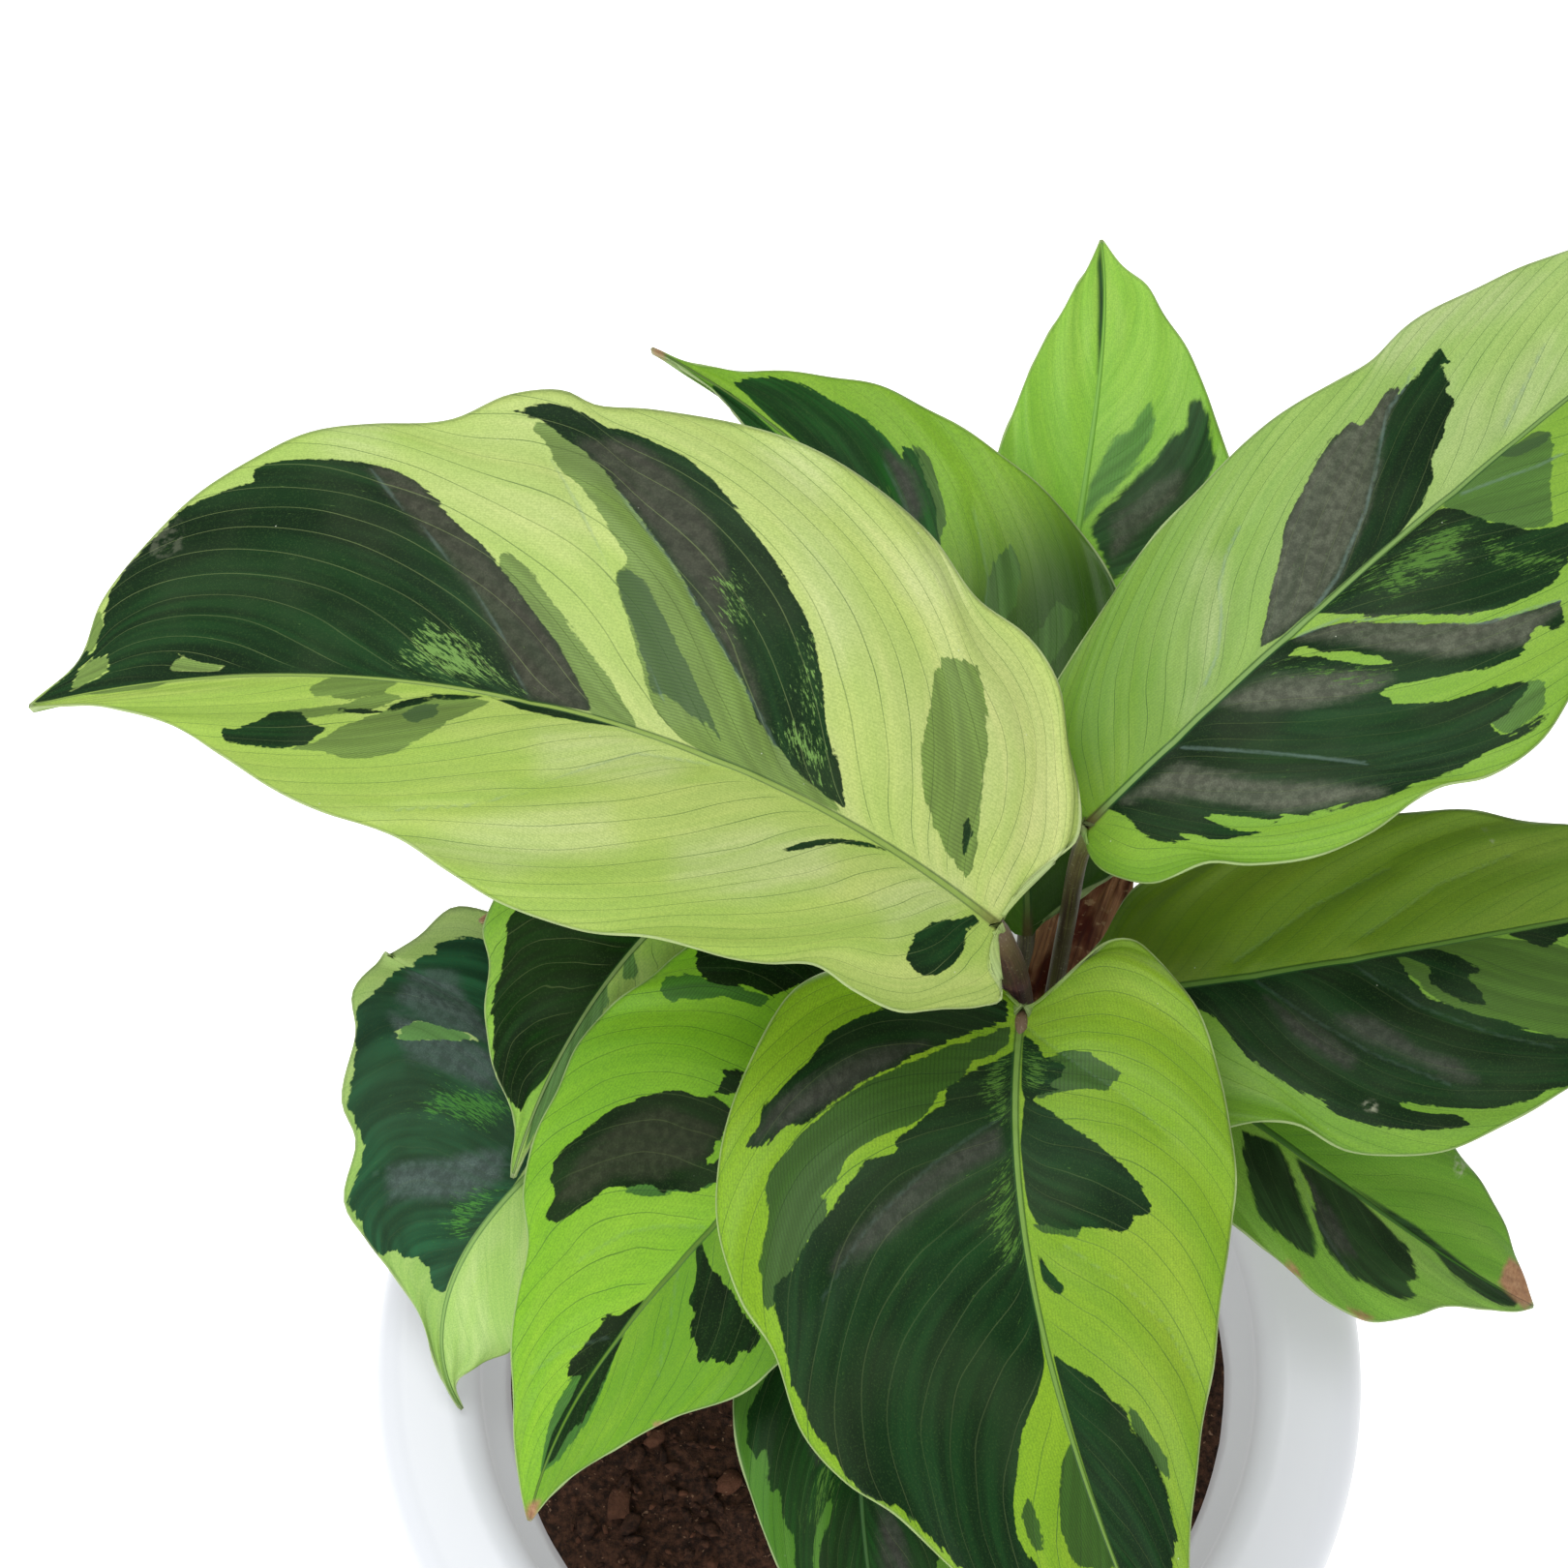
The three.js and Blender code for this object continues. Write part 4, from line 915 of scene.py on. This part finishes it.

    # Dark areas: green, with a painted grey sheen, painted grey-green sheen in large patches, green
    # flecks and pale veins.
    tone = leaf.get("dark_colour", (22, 52, 24))
    dark = s.mix(s.step(streak, 0.3, 0.75), scaled(tone, 0.86), scaled(tone, 1.3))
    dark = s.mix(s.step(broad, 0.4, 0.66, 0.0, 0.75), dark, scaled(tone, 0.66))
    dark = s.mix(s.step(grain, 0.52, 0.7, 0.0, 0.3), dark, colour(62, 92, 44))
    # Painted sheen: a grey-green cast over large random patches of the dark.
    cloud = s.step(s.noise(flat, 0.035, 2.0), 0.45, 0.7, 0.0, 0.17)
    dark = s.mix(cloud, dark, colour(76, 88, 64))
    # Painted sheen: the grey areas over the dark, streaked along the veins.
    tone = leaf.get("sheen_colour", (82, 86, 78))
    grey = s.mix(s.step(s.noise(flat, 0.5, 3.0), 0.35, 0.65), scaled(tone), scaled(tone, 0.8))
    grey = s.mix(s.step(grain, 0.35, 0.7, 0.35, 0.0), grey, scaled(tone, 0.55))
    sheen = s.times(area("grey", -2.0, 1.6, 1.2), s.step(streak, 0.25, 0.7, 1.0, 0.7))
    dark = s.mix(sheen, dark, grey)
    pale_vein = s.mix(leaf.get("pale_veins", 0.15), dark, colour(150, 170, 110))
    clear = s.step(broad, 0.3, 0.6, 0.45 * crisp, crisp)
    dark = s.mix(s.times(vein, clear), dark, pale_vein)
    if "mottle" in leaf:
        fleck = veined(330.0, reach, 0.34, 4.0, 0.75)
        flecks = s.times_add(s.step(s.value("mottle"), -5.0, 6.0), 0.27, fleck)
        tone = leaf.get("mottle_colour", (92, 138, 58))
        dark = s.mix(s.times(s.step(flecks, 0.66, 0.78), 0.85), dark, scaled(tone))
    body = s.mix(area("dark"), body, dark)

    # Painted highlight: a pale bluish line along each fold; the same mask also dents the relief.
    crease = s.step(s.times_add(s.centred(crumb), 0.4, s.value("crease")), -0.7, -0.1)
    crease_highlight_share = s.times(crease, leaf.get("crease_highlight", 0.1))
    body = s.mix(crease_highlight_share, body, colour(128, 156, 150))

    # Midrib, margin, scars, dried tips and dust.
    off_rib = s.math("DIVIDE", s.absolute(y), s.times_add(tip, -0.85, 1.12))
    body = s.mix(s.step(off_rib, 0.7, 1.15, 0.75, 0.0), body, scaled(leaf["rib_edge"]))
    body = s.mix(s.step(off_rib, 0.4, 0.66, 0.9, 0.0), body, scaled(leaf["rib"]))
    off_joint = s.math("SQRT", s.times_add(x, x, s.times(y, y)))
    joint = s.times(s.step(off_rib, 0.5, 1.6, 1.0, 0.0), s.step(off_joint, 1.0, 9.0, 0.9, 0.0))
    body = s.mix(joint, body, scaled(leaf.get("joint_colour", (92, 76, 44))))
    away = s.step(off_joint, 5.0, 16.0)
    body = s.mix(s.times(s.step(edge, 0.35, 0.9, 0.25, 0.0), away), body, colour(52, 84, 42))
    # Painted highlight: a thin pale line on the very margin.
    body = s.mix(s.times(s.step(edge, 0.1, 0.42, 0.6, 0.0), away), body, colour(196, 214, 160))
    if "scar" in leaf:
        scar = s.times(area("scar", -0.6, 0.8, 0.5), s.step(s.noise(flat, 0.55, 3.0), 0.4, 0.62))
        scar = s.times(scar, leaf.get("scar_strength", 0.6))
        body = s.mix(scar, body, colour(196, 200, 176))
    if "brown" in leaf:
        brown = s.mix(crumb, colour(120, 70, 44), colour(214, 170, 130))
        body = s.mix(area("brown", -0.9, 1.1, 0.5), body, brown)
    speck = s.add("ShaderNodeTexVoronoi", {"Vector": flat, "Scale": 0.14}).outputs["Distance"]
    dust = s.times(s.step(speck, 0.016, 0.03, 1.0, 0.0), s.step(broad, 0.5, 0.56))
    body = s.mix(s.times(dust, 0.7), body, colour(214, 224, 206))
    if underside:
        below = s.mix(area("dark"), colour(166, 190, 128), colour(104, 86, 88))
        body = s.mix(0.5, body, below)
    body = s.mix(1.0, body, LEAF_TONE, "MULTIPLY")

    # Relief in millimetres: quilting between the veins, the veins and the grain.
    height = s.times(s.math("COSINE", s.times(off_vein, 2 * math.pi)), -0.03 * crisp)
    for part, rise in ((vein, -0.03), (crumb, 0.03), (grain, 0.03), (hatch, 0.008), (crease, -0.1),
                       (s.step(off_rib, 0.2, 1.1), -0.25)):
        height = s.times_add(part, rise, height)
    rough = s.step(streak, 0.2, 0.8, 0.5, 0.4)
    gloss = s.step(area("dark"), 0.0, 1.0, 0.2, 0.07)
    return s.finish(body, rough, height, Specular_IOR_Level=gloss)


def leaf_object(name, leaf, seed, columns, rows):
    blade = Blade(leaf)
    sides = margins(leaf)

    def shape(u, v):
        side = 1 - 2 * u
        side = np.sign(side) * np.abs(side) ** 1.15
        share = np.abs(side)
        foot, edge = from_midrib(leaf, sides, side, v)
        x = foot + (edge[:, 0] - foot) * share
        y = edge[:, 1] * share
        slip = 0.7 * np.where(side < 0, leaf["drift"][1], leaf["drift"][0])
        drift = v - slip * share ** np.clip(4.4 - 3 * v, 1.6, 4.0) + 0.03 * np.exp(-np.abs(y) / 3)
        wave = np.sin(drift * 34 + seed) + 0.6 * np.sin(drift * 61 + 2 * seed)
        billow = np.sin(drift * 2 * math.pi * 6 + seed) * smooth(0.05, 0.5, share) * (1 - 0.4 * share)
        taper = smooth(0, 0.12, v) * smooth(1, 0.88, v)
        fold = near(leaf.get("crease", []), x, y)
        lift = (wave * 0.6 * share**3 + billow * 0.55) * taper - 1.1 * np.exp(fold / 3.5)
        reach = np.hypot(edge[:, 0] - foot, edge[:, 1]) * share + 0.6 * leaf["length"] * (v - drift)
        outline = np.vstack([sides[1][1], sides[-1][1][::-1]])[::3]
        values = {
            "flat": np.stack([x, y, inside([outline], x, y)], -1),
            "vein": np.stack([drift, side, reach], -1),
        }
        for key in ("olive", "deep_olive", "dark", "grey", "mottle", "glare", "scar", "brown"):
            values[key] = inside(leaf.get(key, []), x, y)
        cut, green = inside(leaf.get("cut", []), x, y), inside(leaf.get("green", []), x, y)
        values["olive"] = np.maximum(np.minimum(values["olive"], -cut), green)
        values["dark"] = np.minimum(values["dark"], -np.maximum(cut, green))
        values["crease"] = fold
        values["rib"] = np.exp(-((np.abs(y) / (1.5 - x / leaf["length"])) ** 2))
        return blade.at(x, y, lift), values

    obj = grid_object(name, columns, rows, shape)
    rib = obj.vertex_groups.new(name="rib")
    weights = np.zeros(len(obj.data.vertices), np.float32)
    obj.data.attributes["rib"].data.foreach_get("value", weights)
    for index, weight in enumerate(weights.tolist()):
        if weight > 0.01:
            rib.add([index], weight, "REPLACE")
    shell = obj.modifiers.new("thickness", "SOLIDIFY")
    shell.thickness = RIB_THICKNESS * MM
    shell.offset = -1.0
    shell.vertex_group = "rib"
    shell.thickness_vertex_group = BLADE_THICKNESS / RIB_THICKNESS
    shell.material_offset = 1
    number = name[-2:]
    obj.data.materials.append(leaf_material(f"leaf {number} upper side", leaf, seed))
    obj.data.materials.append(leaf_material(f"leaf {number} underside", leaf, seed, underside=True))
    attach(obj, "root")
    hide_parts(name)
    return blade


def petiole_material(name, main, light, joint):
    s = Shader(name)
    place = s.place()
    along, round_, _ = s.parts("stem")
    lines = s.noise(s.vector(s.times(round_, 9.0), s.times(along, 4.0)), 1.0, 3.0)
    base = s.mix(s.step(lines, 0.35, 0.7), colour(*main), colour(*light))
    shade = s.step(s.noise(place, 0.12, 3.0), 0.4, 0.7, 0.0, 0.5)
    base = s.mix(shade, base, colour(*(0.7 * c for c in main)))
    base = s.mix(s.step(along, 0.83, 0.9), base, colour(*joint))
    hair = s.noise(place, 1.6, 2.0)
    base = s.mix(s.step(hair, 0.62, 0.7, 0.0, 0.3), base, colour(176, 170, 140))
    height = s.times_add(lines, 0.12, s.times(hair, 0.05))
    return s.finish(base, 0.46, height, Specular_IOR_Level=0.4)


def petiole_object(number, blade):
    foot, bow = PETIOLES[number]

    def under(x, depth):
        point = blade.at(np.array([float(x)]), np.array([0.0]))[0]
        return point - blade.axes(np.array([float(x)]))[2][0] * depth

    floor = SOIL_LEVEL - 2
    thick = PETIOLE_RADIUS.get(number, PLAIN_RADIUS)
    deep = thick / PLAIN_RADIUS
    way = [(*foot, floor), (*foot, floor + 10), bow]
    way += [under(x, depth * deep) for x, depth in ((0, 2.6), (7, 2.2), (16, 1.5))]
    rows, columns = 96, 20
    curve, walk = smooth_curve(np.array(way, float), STEM_STEPS)
    length = walk[-1]
    even = np.linspace(0, length, rows + 1)
    path = np.stack([np.interp(even, walk, curve[:, k]) for k in range(3)], -1)

    def shape(u, v):
        index = np.clip(np.round(v * rows).astype(int), 0, rows)
        tangent = np.gradient(path, axis=0)
        tangent /= np.linalg.norm(tangent, axis=1)[:, None]
        first = np.cross(tangent, (0.3, 0.9, 0.1))
        first /= np.linalg.norm(first, axis=1)[:, None]
        second = np.cross(tangent, first)
        angle = 2 * math.pi * u
        walked = v * length
        left = length - walked
        knee = 0.35 * smooth(26, 18, left) * smooth(6, 12, left)
        radius = thick + 1.1 * (1 - smooth(0, 45, walked)) + knee
        radius = radius * (0.32 + 0.68 * smooth(0, 15, left))
        wings = 1 + 0.3 * np.cos(2 * angle) * (1 - smooth(15, 70, walked))
        offset = first[index] * (np.cos(angle) * radius * wings)[:, None]
        offset += second[index] * (np.sin(angle) * radius * (2 - wings))[:, None]
        return path[index] + offset, {"stem": np.stack([v, u * 6, np.zeros_like(u)], -1)}

    obj = grid_object(f"petiole_{number}_stem", columns, rows, shape)
    bm = bmesh.new()
    bm.from_mesh(obj.data)
    bmesh.ops.remove_doubles(bm, verts=bm.verts, dist=1e-6)
    bmesh.ops.holes_fill(bm, edges=[e for e in bm.edges if e.is_boundary])
    bmesh.ops.recalc_face_normals(bm, faces=bm.faces)
    bm.to_mesh(obj.data)
    bm.free()
    obj.data.materials.append(PURPLE_STEM if number in PURPLE_PETIOLES else OLIVE_STEM)
    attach(obj, "root")
    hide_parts(f"petiole_{number}")


def sheath_object(name, sheath, seed):
    blade = Blade(sheath)
    sides = margins(sheath)

    def shape(u, v):
        side = 1 - 2 * u
        foot, edge = from_midrib(sheath, sides, side, v)
        x = foot + (edge[:, 0] - foot) * np.abs(side)
        y = edge[:, 1] * np.abs(side)
        crumple = 0.5 * np.sin(side * 16 + seed + 3 * np.sin(v * 7)) * smooth(0, 0.2, v)
        return blade.at(x, y, crumple), {"flat": np.stack([x, y, np.zeros_like(x)], -1)}

    obj = grid_object(f"{name}_skin", 28, 70, shape)
    shell = obj.modifiers.new("thickness", "SOLIDIFY")
    shell.thickness = SHEATH_THICKNESS * MM
    shell.offset = 0.0
    s = Shader(f"dried sheath {name[-1]}")
    x, y, _ = s.parts("flat")
    fibre = s.noise(s.vector(s.times(x, 0.04), s.times(y, 1.1), seed), 1.0, 4.0, 0.6)
    patch = s.noise(s.vector(s.times(x, 0.06), s.times(y, 0.12), seed + 4), 1.0, 3.0)
    spots = s.noise(s.place(), 0.5, 3.0)
    base = s.mix(s.step(patch, 0.4, 0.62), colour(104, 44, 32), colour(196, 142, 106))
    base = s.mix(s.step(fibre, 0.35, 0.7, 0.0, 0.7), base, colour(66, 34, 34))
    base = s.mix(s.step(spots, 0.6, 0.72, 0.0, 0.6), base, colour(214, 176, 140))
    material = s.finish(base, 0.8, s.times(fibre, 0.4), Specular_IOR_Level=0.25)
    obj.data.materials.append(material)
    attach(obj, "root")
    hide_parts(name)


def spin_object(name, profile, steps):
    """A full turn of a profile of (radius, height) points in millimetres."""
    bm = bmesh.new()
    verts = [bm.verts.new((r * MM, 0, z * MM)) for r, z in profile]
    edges = [bm.edges.new(pair) for pair in zip(verts, verts[1:])]
    bmesh.ops.spin(bm, geom=verts + edges, cent=(0, 0, 0), axis=(0, 0, 1), angle=2 * math.pi,
                   steps=steps, use_merge=True)
    bmesh.ops.remove_doubles(bm, verts=bm.verts, dist=1e-6)
    bmesh.ops.recalc_face_normals(bm, faces=bm.faces)
    return add_object(name, bm)


def arc(r, z, radius, start, end, steps):
    angles = (math.radians(start + (end - start) * i / steps) for i in range(steps + 1))
    return [(r + radius * math.cos(a), z + radius * math.sin(a)) for a in angles]


def pot_object():
    top = POT["height"] - POT["round"]
    flank = arc(POT["rim"] - POT["round"], top, POT["round"], -8, 90, 14)
    base = arc(POT["base"] - POT["chamfer"], POT["chamfer"], POT["chamfer"], -90, -8, 6)
    low, high = base[-1], flank[0]
    wall = [(low[0] + (high[0] - low[0]) * t, low[1] + (high[1] - low[1]) * t)
            for t in np.linspace(0, 1, 26)[1:-1]]
    lip = arc(POT["mouth"] + POT["round"], top, POT["round"], 90, 180, 14)
    inner = [(POT["mouth"] - 0.4, top - 4), (POT["soil_line"] + 1.6, SOIL_LEVEL + 2),
             (POT["soil_line"], SOIL_LEVEL - 4), (POT["inner_base"], POT["floor"]), (0, POT["floor"])]
    foot = [(0, 0), (POT["base"] * 0.5, 0)]
    obj = spin_object("pot_body", foot + base + wall + flank + lip + inner, 160)
    s = Shader("pot white glaze")
    place = s.place()
    cloud = s.noise(place, 0.018, 3.0)
    # Painted light: the glaze is grey, and POT_GLOW makes the pot glow so its rim and inner wall read
    # white.
    glaze = s.mix(cloud, colour(172, 176, 182), colour(166, 170, 176))
    speck = s.step(s.noise(place, 1.4, 2.0), 0.7, 0.78, 0.0, 0.12)
    glaze = s.mix(speck, glaze, colour(206, 204, 198))
    height = s.times_add(s.noise(place, 0.05, 2.0), 0.3, s.times(s.noise(place, 0.9, 3.0), 0.02))
    material = s.finish(glaze, 0.38, height, Specular_IOR_Level=0.4, Emission_Color=WHITE,
                        Emission_Strength=POT_GLOW)
    obj.data.materials.append(material)
    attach(obj, "root")
    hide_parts("pot")


def soil_material():
    s = Shader("potting mix")
    place = s.place()
    tone = s.value("tone")
    grain = s.noise(place, 0.5, 5.0, 0.65)
    base = s.mix(s.step(grain, 0.35, 0.7), colour(34, 22, 16), colour(78, 52, 38))
    base = s.mix(s.step(tone, 0.5, 1.0, 0.0, 0.7), base, colour(104, 68, 50))
    base = s.mix(s.step(s.noise(place, 0.8, 2.0), 0.66, 0.74, 0.0, 0.6), base, colour(152, 120, 96))
    return s.finish(base, 0.92, s.times(grain, 0.9), Specular_IOR_Level=0.2)


def soil_objects():
    radius = POT["soil_line"] - 0.4
    bottom = POT["floor"] + 0.5
    rings = [(radius * t, SOIL_LEVEL) for t in np.linspace(1, 0, 46)]
    profile = [(0, bottom), (POT["inner_base"] - 0.6, bottom), (radius - 0.4, SOIL_LEVEL - 5), *rings]
    obj = spin_object("soil_bed", profile, 170)
    for vert in obj.data.vertices:
        if vert.co.z > (SOIL_LEVEL - 1) * MM:
            spot = vert.co / MM
            rough = noise.fractal(spot * 0.05, 1.0, 2.0, 3) * 2.2
            rough += noise.fractal(spot * 0.35, 0.9, 2.1, 3) * 1.1
            vert.co.z += (rough - 0.6) * MM
    obj.data.attributes.new("tone", "FLOAT", "POINT")
    material = soil_material()
    obj.data.materials.append(material)
    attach(obj, "root")
    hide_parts("soil")

    # Crumbs and chips of bark that lie on the bed.
    bm = bmesh.new()
    tone = bm.verts.layers.float.new("tone")
    random = np.random.default_rng(7)
    for _ in range(CRUMBS):
        spin, out = random.uniform(0, 2 * math.pi), (radius - 3.5) * math.sqrt(random.uniform())
        size = random.choice([0.8, 1.2, 1.7, 2.4], p=[0.4, 0.32, 0.2, 0.08])
        size *= random.uniform(0.75, 1.25)
        spot = Vector((out * math.cos(spin), out * math.sin(spin), SOIL_LEVEL + 0.3 * size))
        made = bmesh.ops.create_icosphere(bm, subdivisions=2 if size > 2 else 1, radius=1.0)["verts"]
        stretch = random.uniform((0.8, 0.5, 0.3), (1.7, 1.0, 0.7)) * size
        turn, shade = random.uniform(0, math.pi), random.uniform()
        for vert in made:
            ragged = 1 + 0.7 * noise.noise(vert.co * 1.7 + spot)
            px, py, pz = (c * k * ragged for c, k in zip(vert.co, stretch))
            vert.co = Vector((px * math.cos(turn) - py * math.sin(turn),
                              px * math.sin(turn) + py * math.cos(turn), pz)) + spot
            vert[tone] = shade
    bmesh.ops.scale(bm, vec=(MM, MM, MM), verts=bm.verts)
    chips = add_object("soil_crumbs", bm)
    chips.data.materials.append(material)
    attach(chips, "root")
    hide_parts("soil")


def area_light(name, spot, target, size, power):
    data = bpy.data.lights.new(name, "AREA")
    data.shape = "DISK"
    data.size = size
    data.energy = power
    light = bpy.data.objects.new(name, data)
    light.location = spot
    light.rotation_euler = (Vector(target) - Vector(spot)).to_track_quat("-Z", "Y").to_euler()
    bpy.context.scene.collection.objects.link(light)


OLIVE_STEM = petiole_material("olive brown petiole", (58, 46, 30), (96, 96, 50), (104, 112, 58))
PURPLE_STEM = petiole_material("reddish petiole", (58, 36, 40), (92, 64, 54), (104, 84, 62))

pot_object()
soil_objects()
for index, (leaf_name, leaf_table) in enumerate(LEAVES.items()):
    leaf_blade = leaf_object(leaf_name, leaf_table, 1.7 * index + 0.9, *GRIDS.get(leaf_name, (64, 96)))
    petiole_object(leaf_name[-2:], leaf_blade)
for index, (sheath_name, sheath_table) in enumerate(SHEATHS.items()):
    sheath_object(sheath_name, sheath_table, 2.3 * index)

# Floor, light and camera.
bm = bmesh.new()
bmesh.ops.create_grid(bm, x_segments=1, y_segments=1, size=3.0)
floor = add_object("floor", bm)
s = Shader("pale floor")
cloud = s.mix(s.noise(s.place(), 0.004, 2.0), (0.93, 0.93, 0.93, 1), (0.95, 0.95, 0.95, 1))
floor.data.materials.append(s.finish(cloud, 0.9, Emission_Color=WHITE, Emission_Strength=FLOOR_GLOW,
                                     Specular_IOR_Level=0.1))

world = bpy.data.worlds.new("studio")
world.use_nodes = True
background = world.node_tree.nodes["Background"].inputs
background["Color"].default_value = WHITE
background["Strength"].default_value = SKY_STRENGTH
bpy.context.scene.world = world

area_light("softbox", (-0.35, 0.45, 1.7), (0, 0.05, 0.25), 1.0, 13)
area_light("fill", (-0.15, -1.25, 1.0), (0, 0.0, 0.2), 1.2, 12)
area_light("side", (-1.2, 0.1, 0.8), (0, 0.0, 0.2), 1.0, 3)

camera_data = bpy.data.cameras.new("camera")
camera_data.lens = CAMERA_LENS
camera_data.sensor_width = CAMERA_SENSOR
camera = bpy.data.objects.new("camera", camera_data)
camera.location = CAMERA_SPOT
camera.rotation_euler = (math.radians(CAMERA_TILT), 0, 0)
bpy.context.scene.collection.objects.link(camera)
bpy.context.scene.camera = camera
bpy.context.scene.view_settings.view_transform = "Standard"
